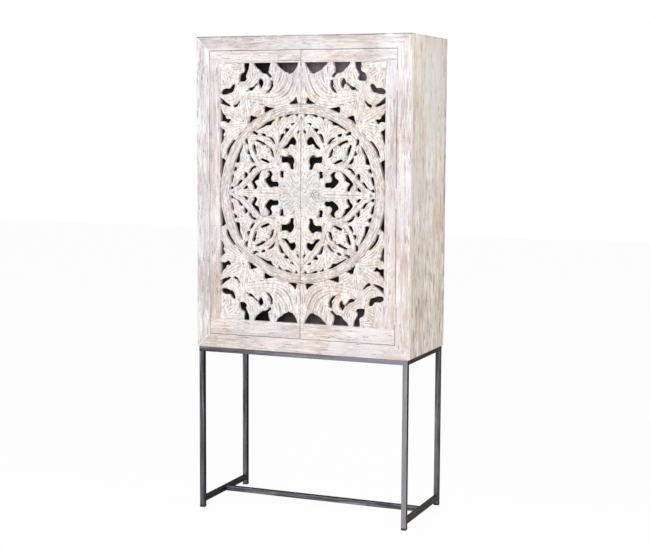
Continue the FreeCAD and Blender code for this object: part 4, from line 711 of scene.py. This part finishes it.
# bands, leaves and stems: reeds, top, half widths at the start, middle and end in squares, and points in tenths
strokes = (
    # two strands that loop round the rosette
    (3, -0.6, (0.7, 0.9, 0.8), ((5, 310), (22, 278), (48, 246), (74, 212), (90, 176), (98, 142), (109, 116),
        (136, 104), (168, 107), (187, 122), (201, 142), (211, 165), (216, 190), (219, 214))),
    (3, -0.6, (0.7, 0.9, 0.8), ((306, 4), (276, 16), (250, 33), (224, 57), (198, 84), (172, 99), (138, 106),
        (115, 124), (110, 153), (118, 180), (136, 196), (160, 210), (190, 217), (218, 216))),
    # leaves between the strands and the ring
    (3, -1.6, (1.0, 1.7, 1.0), ((98, 200), (94, 240), (80, 274), (58, 294))),
    (2, -2.0, (0.9, 1.5, 0.9), ((102, 204), (109, 240), (110, 278))),
    (3, -1.4, (0.9, 1.6, 0.6), ((106, 206), (132, 238), (156, 250), (188, 244))),
    (2, -1.8, (0.8, 1.4, 0.9), ((86, 230), (64, 262), (43, 284), (24, 298))),
    (2, -1.6, (0.8, 1.3, 0.7), ((39, 266), (26, 282), (12, 292))),
    (2, -2.2, (1.0, 1.4, 0.8), ((118, 216), (142, 224), (180, 226), (206, 224))),
    (3, -1.6, (1.0, 1.6, 0.9), ((204, 99), (238, 96), (268, 80), (286, 56))),
    (2, -1.9, (0.9, 1.4, 0.8), ((208, 106), (240, 110), (274, 110))),
    (3, -1.4, (0.9, 1.5, 0.6), ((214, 112), (240, 136), (248, 158), (244, 186))),
    (2, -1.8, (0.8, 1.3, 0.8), ((232, 84), (258, 62), (282, 40), (296, 22))),
    (2, -2.0, (0.7, 1.1, 0.7), ((219, 118), (226, 140), (224, 174))),
    # leaves on the two axes and the stem to the rosette
    (4, -1.2, (2.2, 2.0, 0.8), ((0, 88), (0, 140), (2, 200), (0, 270))),
    (2, -1.6, (0.9, 1.3, 0.9), ((6, 120), (16, 154), (34, 172), (50, 172))),
    (2, -2.0, (0.8, 1.1, 0.6), ((8, 176), (18, 206), (22, 226))),
    (4, -1.2, (2.4, 2.2, 0.9), ((88, 0), (140, 2), (200, 0), (274, 2))),
    (2, -1.6, (0.9, 1.4, 1.0), ((120, 10), (156, 26), (169, 46), (164, 66))),
    (2, -2.0, (0.8, 1.1, 0.6), ((194, 8), (212, 19), (222, 34))),
    (3, -1.4, (1.1, 1.2, 1.0), ((56, 56), (80, 82), (104, 104))),
    (2, -1.8, (0.7, 1.1, 0.8), ((94, 92), (114, 86), (120, 72))),
    (2, -1.8, (0.7, 1.1, 0.8), ((88, 98), (86, 112), (74, 119))),
    # stem above the ring, and the small leaf at its foot
    (4, -0.8, (1.5, 1.9, 1.7), ((226, 276), (229, 310), (233, 346), (242, 386))),
    (3, -1.6, (1.6, 1.7, 0.6), ((216, 306), (194, 327), (162, 342))),
    (2, -2.2, (1.1, 1.3, 0.5), ((218, 318), (202, 342), (174, 356))),
    # great leaf that sweeps along the ring to the middle
    (2, -0.8, (0.9, 1.35, 0.5), ((232, 374), (170, 362), (104, 356), (54, 372), (30, 410), (17, 456),
        (9, 506))),
    (2, -1.2, (0.8, 1.35, 0.8), ((230, 383), (170, 377), (108, 376), (70, 396), (48, 430), (42, 464))),
    (2, -1.2, (0.8, 1.35, 0.9), ((224, 390), (168, 389), (118, 396), (88, 422), (72, 450), (70, 476))),
    (2, -1.0, (0.7, 1.3, 0.9), ((204, 394), (146, 400), (116, 418), (100, 446), (96, 488))),
    (2, -0.8, (0.8, 1.5, 0.8), ((116, 430), (118, 456), (122, 482), (120, 508))),
    # curl beside it
    (2, -0.8, (0.8, 1.2, 1.3), ((216, 398), (176, 398), (154, 414), (145, 438), (152, 458), (169, 460))),
    (2, -1.4, (0.6, 1.0, 0.6), ((210, 400), (186, 409), (179, 420))),
    # scroll towards the rail
    (3, -0.6, (1.1, 1.6, 1.0), ((256, 404), (226, 419), (196, 438), (184, 464), (198, 489), (213, 506))),
    (3, -1.0, (1.0, 1.6, 0.8), ((252, 420), (228, 438), (214, 464), (213, 496))),
    # side leaves that curl to the stile
    (3, -0.6, (1.1, 1.6, 0.9), ((250, 434), (256, 396), (270, 369), (296, 356), (324, 366), (344, 384))),
    (3, -1.0, (0.9, 1.5, 0.8), ((272, 420), (276, 394), (296, 378), (326, 380))),
    (3, -1.2, (1.0, 1.6, 0.9), ((244, 310), (256, 336), (252, 370), (248, 406))),
    (3, -1.0, (1.2, 1.7, 0.8), ((252, 298), (284, 316), (316, 334), (338, 352))),
    (2, -1.4, (1.0, 1.5, 0.8), ((258, 282), (290, 296), (318, 318))),
    (2, -1.6, (1.0, 1.5, 0.9), ((248, 320), (276, 333), (300, 337))),
    (3, -1.0, (1.1, 1.7, 0.9), ((238, 270), (274, 266), (312, 260), (330, 259))),
    (3, -1.2, (1.0, 1.6, 0.8), ((246, 256), (282, 239), (310, 216), (328, 186))),
    (2, -1.4, (0.8, 1.4, 0.6), ((272, 226), (304, 202), (326, 170), (336, 138))),
    (2, -1.6, (0.8, 1.3, 1.0), ((290, 254), (316, 238), (344, 228))),
    # petals of the corner flower
    (3, -1.0, (1.2, 1.9, 0.9), ((340, 504), (304, 500), (260, 494))),
    (3, -1.4, (1.2, 2.0, 1.0), ((338, 502), (306, 476), (274, 456))),
    (3, -1.4, (1.2, 2.0, 1.0), ((339, 500), (324, 468), (312, 432))),
    (2, -1.6, (0.9, 1.4, 0.8), ((343, 498), (342, 464), (342, 420))),
    # leaf on the middle line above the ring
    (3, -1.0, (0.8, 1.3, 0.7), ((0, 360), (5, 400), (4, 450), (0, 508))),
)
# round forms: tenths of squares across and up, radius in squares, top, turns of the spiral
rounds = (
    (71, 161, 1.75, -0.2, 1.4), (69, 108, 1.6, -0.4, 1.4), (157, 74, 1.6, -0.2, 1.4),
    (114, 62, 1.5, -0.4, 1.4), (330, 272, 1.7, -0.3, 1.2), (186, 412, 1.1, -0.6, 1.0),
    (294, 400, 1.2, -0.6, 1.0), (132, 469, 0.9, -0.8, 0.8), (334, 496, 2.0, -0.2, 1.2),
    (30, 303, 0.8, -0.8, 0.0), (102, 293, 0.9, -0.8, 0.0), (303, 104, 0.9, -0.8, 0.0),
)
# flowers: centre in tenths, petals, then inner and outer radius, half width and top
flowers = (
    (0, 0, 16, 5.6, 9.0, 1.55, -1.6), (0, 0, 12, 3.4, 7.0, 1.5, -0.7), (0, 0, 8, 1.2, 4.2, 1.25, -0.2),
    (163, 163, 8, 0.8, 2.9, 0.95, -0.5), (293, 386, 6, 0.5, 1.6, 0.6, -0.7),
)


# section of a stroke: its edges stand above the ground, its crown is rounded and its reeds are cut in
section = {"edge": 2.6, "round": 2.4, "reedSharp": 1.6}
# petals end just short of a flower's edge and are narrow at both ends; its middle is a low dome
flower = {"end": 0.93, "widths": (0.5, 1, 0.75), "middle": 1.15, "rise": 0.4, "fall": 2.0}
# ring: share of its width that the rolled edges take, then its grooves as place, width and depth
ring = {"roll": 0.2, "rollDrop": 0.12, "rollDepth": 5.0, "edge": -0.5, "flat": -0.9, "dish": 0.9,
        "dishWidth": 1.5, "grooves": ((0.22, 0.035, 1.3), (0.5, 0.03, 0.5))}
# round forms: how steeply they fall, and the groove of their spiral
bead = {"fall": 3.6, "spiral": 1.3, "eye": 0.18}


def patch(line, reach, place):
    # the part of the map within reach of a line, and the places in it
    low, high = (line.min(axis=0) - reach) / carving["fine"], (line.max(axis=0) + reach) / carving["fine"]
    cols, rows = (slice(max(0, int(low[k])), max(0, int(high[k]) + 2)) for k in (0, 1))
    return (rows, cols), place[0][rows, cols], place[1][rows, cols]


def fromSegment(a, b, x, z):
    # how far along the straight piece its nearest point lies, and the way from there
    run = b - a
    share = np.clip(((x - a[0]) * run[0] + (z - a[1]) * run[1]) / max(float(run @ run), 1e-9), 0, 1)
    return share, x - a[0] - share * run[0], z - a[1] - share * run[1]


def carveStroke(points, widths, reeds, top, place, height):
    # raises the height map along one stroke: rounded across, parted into reeds
    line = smoothLine(points, False)
    along = np.linspace(0, 1, len(line))
    start, middle, end = widths
    narrow = np.where(along < 0.5, start, end)
    half = narrow + (middle - narrow) * np.sin(along * math.pi)
    window, x, z = patch(line, half.max() + 1, place)
    ratio = np.full(x.shape, math.inf)
    side = np.zeros(x.shape)
    for a, b, first, last in zip(line, line[1:], half, half[1:]):
        share, dx, dz = fromSegment(a, b, x, z)
        here = np.hypot(dx, dz) / (first + share * (last - first))
        nearer = here < ratio
        ratio = np.where(nearer, here, ratio)
        side = np.where(nearer, np.sign((b - a)[0] * dz - (b - a)[1] * dx) * here, side)
    crown = np.sqrt(np.clip(1 - ratio ** section["round"], 0, 1))
    reed = 1 - np.abs(np.sin(math.pi * reeds * (side + 1) / 2))
    foot = carving["ground"] + section["edge"]
    raised = foot + (top - foot) * crown - carving["reedDepth"] * reed ** section["reedSharp"] * (reeds > 1)
    height[window] = np.where((ratio < 1) & (raised > height[window]), raised, height[window])


def openingDistance(place):
    # signed distance to the edge of the nearest opening, positive in the wood, up to a limit
    limit = carving["pillowWidth"] + 2
    field = np.full(place[0].shape, limit)
    for shares, within in [(s, True) for s in insideShares] + [(s, False) for s in outsideShares]:
        line = smoothLine(fromSquares(shares, within), True)
        window, x, z = patch(line, limit, place)
        near = np.full(x.shape, math.inf)
        hole = np.zeros(x.shape, bool)
        for a, b in zip(line, np.roll(line, -1, axis=0)):
            near = np.minimum(near, np.hypot(*fromSegment(a, b, x, z)[1:]))
            if a[1] != b[1]:
                hole ^= ((a[1] > z) != (b[1] > z)) & (x < (b[0] - a[0]) * (z - a[1]) / (b[1] - a[1]) + a[0])
        field[window] = np.minimum(field[window], np.where(hole, -near, near))
    return field


def softened(field, length):
    # a blur of the given length in samples
    up, across = np.fft.fftfreq(field.shape[0])[:, None], np.fft.rfftfreq(field.shape[1])[None, :]
    kept = np.exp(-2 * (math.pi * length) ** 2 * (across ** 2 + up ** 2))
    return np.fft.irfft2(np.fft.rfft2(field) * kept, s=field.shape)


def softNoise(shape, length, seed):
    # even, seeded noise of about the given length in samples, between about -1 and 1
    soft = softened(np.random.default_rng(seed).normal(size=shape), length / 2)
    return soft / (2.2 * soft.std())


def blurred(field, length, margin=24):
    return softened(np.pad(field, margin, mode="reflect"), length)[margin:-margin, margin:-margin]


def carvedHeights():
    # the quarter's height map in millimetres below the front of the door, and the distance to the openings
    fine = carving["fine"]
    place = np.meshgrid(np.arange(0, boardX + 3 * fine, fine), np.arange(0, boardUp + 3 * fine, fine))
    field = openingDistance(place)
    rise = np.sin(np.clip(field / carving["pillowWidth"], 0, 1) * math.pi / 2)
    height = carving["ground"] + carving["pillow"] * rise
    square = ringOuter / carving["across"]
    for reeds, top, widths, points in strokes:
        carveStroke(fromSquares(points), [w * square for w in widths], reeds, top, place, height)
    for across, up, count, inner, outer, half, top in flowers:
        centre = fromSquares((across, up))[0]
        for k in range(count):
            turn = 2 * math.pi * (k + 0.5 * (count % 4 == 0)) / count
            ray = np.array([math.cos(turn), math.sin(turn)]) * square
            reaches = (inner, (inner + outer) / 2, outer * flower["end"])
            petal = np.array([centre + ray * reach for reach in reaches])
            widths = [half * share * square for share in flower["widths"]]
            carveStroke(petal, widths, 2, top, place, height)
        distance = np.hypot(place[0] - centre[0], place[1] - centre[1])
        middle = inner * square * flower["middle"]
        dome = top + flower["rise"] - flower["fall"] * (distance / middle) ** 2
        domed = (distance < middle) & (inner < 2)
        height = np.where(domed, np.minimum(dome, carving["highest"]), height)
    for across, up, radius, top, turns in rounds:
        centre = fromSquares((across, up))[0]
        dx, dz = place[0] - centre[0], place[1] - centre[1]
        distance = np.hypot(dx, dz) / (radius * square)
        dome = top - bead["fall"] * distance ** 3
        if turns:
            winding = distance * turns + np.arctan2(dz, dx) / (2 * math.pi)
            groove = np.clip(np.cos(2 * math.pi * winding), 0, 1) ** 4
            dome = dome - bead["spiral"] * groove * (distance > bead["eye"])
        height = np.where(distance < 1, dome, height)
    # ring: two rolled edges and a flat between grooves
    share = np.clip((np.hypot(*place) - ringInner) / (ringOuter - ringInner), -1, 2)
    dish = np.abs(np.cos(math.pi * np.clip((share - 0.5) * ring["dishWidth"] + 0.5, 0, 1)))
    roll = np.where(share < 0.5, share, 1 - share)
    edge = ring["edge"] - ring["rollDepth"] * np.clip(1 - roll / ring["rollDrop"], 0, 1) ** 2
    band = np.where(roll < ring["roll"], edge, ring["flat"] - ring["dish"] * dish)
    for middle, width, depth in ring["grooves"]:
        band = band - depth * np.exp(-((roll - middle) / width) ** 2)
    height = np.where((share > 0) & (share < 1), band, height)
    return height - carving["edgeDrop"] * (1 - np.clip(field / carving["edgeWidth"], 0, 1)) ** 2, field


def sample(table, x, z):
    # bilinear look-up in a quarter's map, mirrored at both middle lines
    x, z = np.abs(x) / carving["fine"], np.abs(z) / carving["fine"]
    i = np.clip(x.astype(int), 0, table.shape[1] - 2)
    j = np.clip(z.astype(int), 0, table.shape[0] - 2)
    s, t = np.clip(x - i, 0, 1), np.clip(z - j, 0, 1)
    low = table[j, i] * (1 - s) + table[j, i + 1] * s
    high = table[j + 1, i] * (1 - s) + table[j + 1, i + 1] * s
    return low * (1 - t) + high * t


def piercedFace(seed):
    # one board's front, cut along the openings: its points, its faces and the edges where walls stand.
    # Each point holds its place across and up, its wander across and up, and its roughness.
    step = carving["step"]
    X, Z = np.meshgrid(*(np.linspace(low, high, int(round((high - low) / step)) + 1)
                         for low, high in ((boardNear, boardX), (-boardUp, boardUp))))
    fromEdge = np.minimum(np.minimum(X - boardNear, boardX - X), boardUp - np.abs(Z))
    fade = carving["waver"] * np.minimum(1, fromEdge / carving["fade"])
    waverX, waverZ = (softNoise(X.shape, carving["waverLength"] / step, seed + k) * fade for k in (0, 1))
    rough = softNoise(X.shape, carving["roughLength"] / step, seed + 2) * carving["rough"]
    solid = sample(quarterField, X + waverX, Z + waverZ)
    keep = solid > 0
    number = np.full(X.shape, -1)
    number[keep] = np.arange(keep.sum())
    values = np.stack([X, Z, waverX, waverZ, rough], -1)
    points = list(values[keep])
    crossings = {}

    def crossing(first, second):
        a, b = sorted((first, second))
        if (a, b) not in crossings:
            share = solid[a] / (solid[a] - solid[b])
            share = min(max(share, carving["nearest"]), 1 - carving["nearest"])
            crossings[a, b] = len(points)
            points.append(np.append((values[a] + share * (values[b] - values[a]))[:4], rough[a]))
        return crossings[a, b]

    cells = np.stack([number[:-1, :-1], number[:-1, 1:], number[1:, 1:], number[1:, :-1]], -1)
    whole = (cells >= 0).all(axis=-1)
    faces = cells[whole].tolist()
    for j, i in zip(*np.nonzero((cells >= 0).any(axis=-1) & ~whole)):
        corners = [(j, i), (j, i + 1), (j + 1, i + 1), (j + 1, i)]
        face = []
        for here, after in zip(corners, corners[1:] + corners[:1]):
            if keep[here]:
                face.append(int(number[here]))
            if keep[here] != keep[after]:
                face.append(crossing(here, after))
        faces.append(face)
    edges = {edge for face in faces for edge in zip(face, face[1:] + face[:1])}
    return np.array(points), faces, sorted((a, b) for a, b in edges if (b, a) not in edges)


quarterHeight, quarterField = carvedHeights()
quarterTables = {"hollow": blurred(quarterHeight, carving["hollowBlur"]) - quarterHeight,
                 "ridge": quarterHeight - blurred(quarterHeight, carving["ridgeBlur"])}
print("stage: carving heights")


def carvedBoard(name, side, material):
    points, faces, walls = piercedFace(carving["seed"] + side)
    x, z, waverX, waverZ, rough = points.T
    depth = sample(quarterHeight, x + waverX, z + waverZ) + rough
    if side > 0:
        depth = np.where(np.hypot(x - carving["knobX"], z) < carving["knobSeat"], carving["highest"], depth)
    depth = np.clip(depth, carving["lowest"], carving["highest"])
    front = np.stack([side * x * mm, frontY - depth * mm, boardZ + z * mm], -1)
    rim = sorted({v for wall in walls for v in wall})
    order = {v: k for k, v in enumerate(rim)}
    back = front[rim]
    back[:, 1] = boardHigh.y
    first = len(points)
    faces += [(b, a, first + order[a], first + order[b]) for a, b in walls]
    # flat back, filled between the same edges
    flat, _, triangles, origin, _, _ = geometry.delaunay_2d_cdt(
        [Vector((x[v], z[v])) for v in rim], [(order[a], order[b]) for a, b in walls], [], 0,
        carving["samePoint"])
    middles = np.array([tuple(p) for p in flat])[np.array(triangles)].mean(axis=1)
    for triangle, depthIn in zip(triangles, sample(quarterField, *middles.T)):
        corners = [first + origin[v][0] for v in triangle if origin[v]]
        if depthIn > carving["inHole"] and len(corners) == 3:
            faces.append(corners)
    if side < 0:
        faces = [face[::-1] for face in faces]
    tables = {key: sample(table, x + waverX, z + waverZ) for key, table in quarterTables.items()}
    points = np.concatenate([front, back]).tolist()
    board = sculpted(name, points, faces, material, carving["sharp"], **tables)
    print("stage:", name, len(board.data.vertices), "points", len(board.data.polygons), "faces")
    return board


for side, doorName in ((-1, "left"), (1, "right")):
    material = washedCarving("whitewashedCarving_" + doorName, seeds["carvings"] + side)
    board = carvedBoard(doorName + "_carving", side, material)
    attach(board, doorName + "_door")
    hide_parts(doorName + "_carved_panel")

# Knob: a turned bone knob whose head is cut into petals round a small button; its outline is given as height
# and radius in millimetres
knobLook = {
    "profile": ((0, 9.6), (0, 10), (3.6, 10), (5.4, 9.4), (7.4, 6.4), (11, 6.3), (13.2, 9.5), (15.6, 14.6),
                (19, 16.4), (23.4, 16.2), (27.4, 12.4), (29.4, 7.2), (30, 3.2), (30, 0)),
    "petals": 8, "around": 128, "groove": 0.17, "narrow": 5.0, "head": 13.0, "headOver": 3.0, "centre": 17.0,
    "button": 5.2, "buttonOver": 2.0, "buttonGroove": 0.13, "buttonWidth": 1.1, "sharp": 60,
    "bone": "#f2eeea", "roughness": 0.35, "uneven": 0.5, "noises": {"pores": (2.6, 4.0, 0.65, 0.0)},
    "layers": (("#a08f7c", ("pores", 0.52, 0.66), 0.4), ("#4a3626", ("stained", 0.42, 0.9), 0.92)),
}


def carvedKnob(material):
    profile = smoothLine(np.array(knobLook["profile"], float), False, 5)
    profile[:, 1] *= (knobHigh.x - knobLow.x) / 2 / mm / profile[:, 1].max()
    height, radius = profile[:, 0], profile[:, 1]
    turn = np.linspace(0, 2 * math.pi, knobLook["around"], endpoint=False)
    between = np.abs(np.cos(knobLook["petals"] * turn / 2)) ** knobLook["narrow"]
    head = np.clip((height - knobLook["head"]) / knobLook["headOver"], 0, 1)
    beyond = radius - knobLook["button"]
    petal = np.outer(head * np.clip(beyond / knobLook["buttonOver"], 0, 1), between)
    centre = knobLook["centre"]
    buttonRing = (head * np.exp(-(beyond / knobLook["buttonWidth"]) ** 2) * (height > centre))[:, None]
    cut = np.maximum(petal, buttonRing)
    sink = 1 - knobLook["groove"] * petal - knobLook["buttonGroove"] * buttonRing
    headed, level = head[:, None] > 0, height[:, None]
    across = radius[:, None] * np.where(headed, sink, 1)
    up = np.where(headed, centre + (level - centre) * sink, level)
    x, z = across * np.cos(turn), across * np.sin(turn)
    middleX, middleZ = (knobLow.x + knobHigh.x) / 2, (knobLow.z + knobHigh.z) / 2
    rows, count = len(profile) - 1, knobLook["around"]
    verts = np.stack([middleX + x * mm, frontY - up * mm, middleZ + z * mm], -1)[:rows].reshape(-1, 3)
    tip = (middleX, knobLow.y, middleZ)
    faces = [tuple(range(count))]
    for row in range(rows - 1):
        for k in range(count):
            a, b = row * count + k, row * count + (k + 1) % count
            faces.append((a, a + count, b + count, b))
    top = (rows - 1) * count
    faces += [(top + k, rows * count, top + (k + 1) % count) for k in range(count)]
    points = verts.tolist() + [tip]
    return sculpted("petalled_knob", points, faces, material, knobLook["sharp"], cut=cut[:rows].ravel())


def carvedBone():
    # cattle bone, turned, filed into petals and polished: warm white and smooth, brown stain left in the cuts
    material, tree, shader, at = newMaterial("polishedBone")
    addNoises(tree, at, knobLook["noises"])
    cut = addNode(tree, "Attribute", attribute_name="cut").outputs["Fac"]
    at["stained"] = addNode(tree, "Math", at["pores"], knobLook["uneven"], cut, operation="MULTIPLY_ADD")
    colour = layered(tree, linear(knobLook["bone"]), at, *knobLook["layers"])
    surface(tree, shader, colour, knobLook["roughness"], at["pores"], even["relief"], even["bump"])
    return material


knobPiece = carvedKnob(carvedBone())
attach(knobPiece, "right_door")
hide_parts("knob")
print("stage: knob", len(knobPiece.data.vertices), "points")

# Screws: each node's places and sizes come from the frame, the cross-recessed heads from one tree
screws = {"sides": 18, "hingeReach": 17.5 * mm, "otherReach": 36.0 * mm,
          "crossWidth": 0.3, "crossLength": 1.25, "crossDepth": 0.55, "pan": 0.76, "tip": 0.3, "seed": 12,
          # a head whose rim is that much wider than the shank is a pan head, and what counts as one level
          "panFrom": 1.5, "sameLevel": 0.01 * mm}


def screwPlaces(node):
    # middle of each head's face, the way it faces, and the sizes that all screws of the node share
    points = np.array([v.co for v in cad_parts[node].data.vertices])
    reach = screws["hingeReach"] if "hinge" in node else screws["otherReach"]
    waiting = np.ones(len(points), bool)
    faces = []
    while waiting.any():
        near = waiting & (np.linalg.norm(points - points[waiting][0], axis=1) < reach)
        waiting &= ~near
        own = points[near]
        low, high = own.min(axis=0), own.max(axis=0)
        axis = int(np.argmax(high - low))
        middle = (low + high) / 2
        away = np.linalg.norm(np.delete(own - middle, axis, 1), axis=1)
        levels = np.unique(np.round(own[:, axis], 5))
        radii = [away[np.abs(own[:, axis] - level) < screws["sameLevel"]].max() for level in levels]
        sign = 1 if radii[-1] > radii[0] else -1
        if sign < 0:
            levels, radii = levels[::-1], radii[::-1]
        middle[axis] = levels[-1]
        facing = np.zeros(3)
        facing[axis] = sign
        faces.append((middle, facing))
        headHeight = abs(levels[-1] - levels[-2])
        pan = radii[-2] > screws["panFrom"] * radii[0]
        sizes = {"Face radius": radii[-1] * (screws["pan"] if pan else 1.0),
                 "Seat radius": radii[-1] if pan else radii[0], "Head height": headHeight,
                 "Shank radius": radii[0], "Length": abs(levels[-1] - levels[0])}
    return faces, {name: float(value) for name, value in sizes.items()}


def screwTree():
    tree = bpy.data.node_groups.new("crossHeadScrews", "GeometryNodeTree")
    tree.interface.new_socket("Geometry", in_out="INPUT", socket_type="NodeSocketGeometry")
    for name in ("Face radius", "Seat radius", "Head height", "Shank radius", "Length"):
        tree.interface.new_socket(name, in_out="INPUT", socket_type="NodeSocketFloat")
    tree.interface.new_socket("Seed", in_out="INPUT", socket_type="NodeSocketInt")
    tree.interface.new_socket("Material", in_out="INPUT", socket_type="NodeSocketMaterial")
    tree.interface.new_socket("Geometry", in_out="OUTPUT", socket_type="NodeSocketGeometry")
    given = addNode(tree, "NodeGroupInput").outputs
    # head: a cone frustum below its own face, with two crossed boxes cut out of it
    head = addNode(tree, "GeometryNodeMeshCone", {
        "Vertices": screws["sides"], "Radius Top": given["Face radius"],
        "Radius Bottom": given["Seat radius"], "Depth": given["Head height"]})
    wide = addNode(tree, "Math", given["Face radius"], screws["crossWidth"], operation="MULTIPLY")
    span = addNode(tree, "Math", given["Face radius"], screws["crossLength"], operation="MULTIPLY")
    deep = addNode(tree, "Math", given["Head height"], 2 * screws["crossDepth"], operation="MULTIPLY")
    top = addNode(tree, "CombineXYZ", {"Z": given["Head height"]})
    head = addNode(tree, "GeometryNodeMeshBoolean", {"Mesh 1": head}, operation="DIFFERENCE")
    for first, second in ((span, wide), (wide, span)):
        box = addNode(tree, "GeometryNodeMeshCube", addNode(tree, "CombineXYZ", first, second, deep))
        feed(tree, head.inputs["Mesh 2"], addNode(tree, "GeometryNodeTransform", box, top))
    # shank: tapered to its tip, under the head
    under = addNode(tree, "Math", given["Length"], given["Head height"], operation="SUBTRACT")
    tip = addNode(tree, "Math", given["Shank radius"], screws["tip"], operation="MULTIPLY")
    shank = addNode(tree, "GeometryNodeMeshCone", {
        "Vertices": screws["sides"], "Radius Top": given["Shank radius"],
        "Radius Bottom": tip, "Depth": under})
    whole = addNode(tree, "GeometryNodeJoinGeometry")
    for shape, drop in ((head, given["Head height"]), (shank, given["Length"])):
        down = addNode(tree, "CombineXYZ", {"Z": addNode(tree, "Math", drop, -1.0, operation="MULTIPLY")})
        feed(tree, whole.inputs[0], addNode(tree, "GeometryNodeTransform", shape, down))
    # each stands on its place, faces its own way and is turned as it was left when driven home
    facing = addNode(tree, "GeometryNodeInputNamedAttribute", "facing", data_type="FLOAT_VECTOR")
    upright = addNode(tree, "FunctionNodeAlignRotationToVector", {"Vector": facing}, axis="Z")
    chance = addNode(tree, "FunctionNodeRandomValue", {"Seed": given["Seed"]}, data_type="FLOAT")
    chance = addNode(tree, "Math", chance, math.tau, operation="MULTIPLY")
    turn = addNode(tree, "FunctionNodeAxisAngleToRotation", {"Angle": chance})
    turned = addNode(tree, "FunctionNodeRotateRotation", upright, turn, rotation_space="LOCAL")
    placed = addNode(tree, "GeometryNodeInstanceOnPoints",
                     {"Points": given["Geometry"], "Instance": whole, "Rotation": turned})
    real = addNode(tree, "GeometryNodeRealizeInstances", placed)
    finished = addNode(tree, "GeometryNodeSetMaterial", {"Geometry": real, "Material": given["Material"]})
    addNode(tree, "NodeGroupOutput", finished)
    return tree


headTree = screwTree()
for node in [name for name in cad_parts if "screw" in name]:
    faces, sizes = screwPlaces(node)
    mesh = bpy.data.meshes.new(node)
    mesh.from_pydata([place for place, facing in faces], [], [])
    mesh.attributes.new("facing", "FLOAT_VECTOR", "POINT").data.foreach_set(
        "vector", np.array([facing for place, facing in faces], dtype=np.float32).ravel())
    heads = bpy.data.objects.new(node.replace("screw", "cross_head_screw"), mesh)
    scene.collection.objects.link(heads)
    modifier = heads.modifiers.new("screws", "NODES")
    modifier.node_group = headTree
    settings = {**sizes, "Seed": screws["seed"], "Material": zinc}
    for socket in headTree.interface.items_tree:
        if socket.in_out == "INPUT" and socket.name in settings:
            modifier[socket.identifier] = settings[socket.name]
    evaluated = heads.evaluated_get(bpy.context.evaluated_depsgraph_get())
    plain = bpy.data.meshes.new_from_object(evaluated)
    heads.modifiers.remove(modifier)
    plain.materials.clear()
    plain.materials.append(zinc)
    heads.data = plain
    body = "right_door" if "knob" in node else "case"
    if node.endswith("door_hinge_screws"):
        body = node.split("_")[0] + "_door"
    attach(heads, body)
    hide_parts(node)
    print("stage:", heads.name, len(faces), "screws", len(plain.vertices), "points")
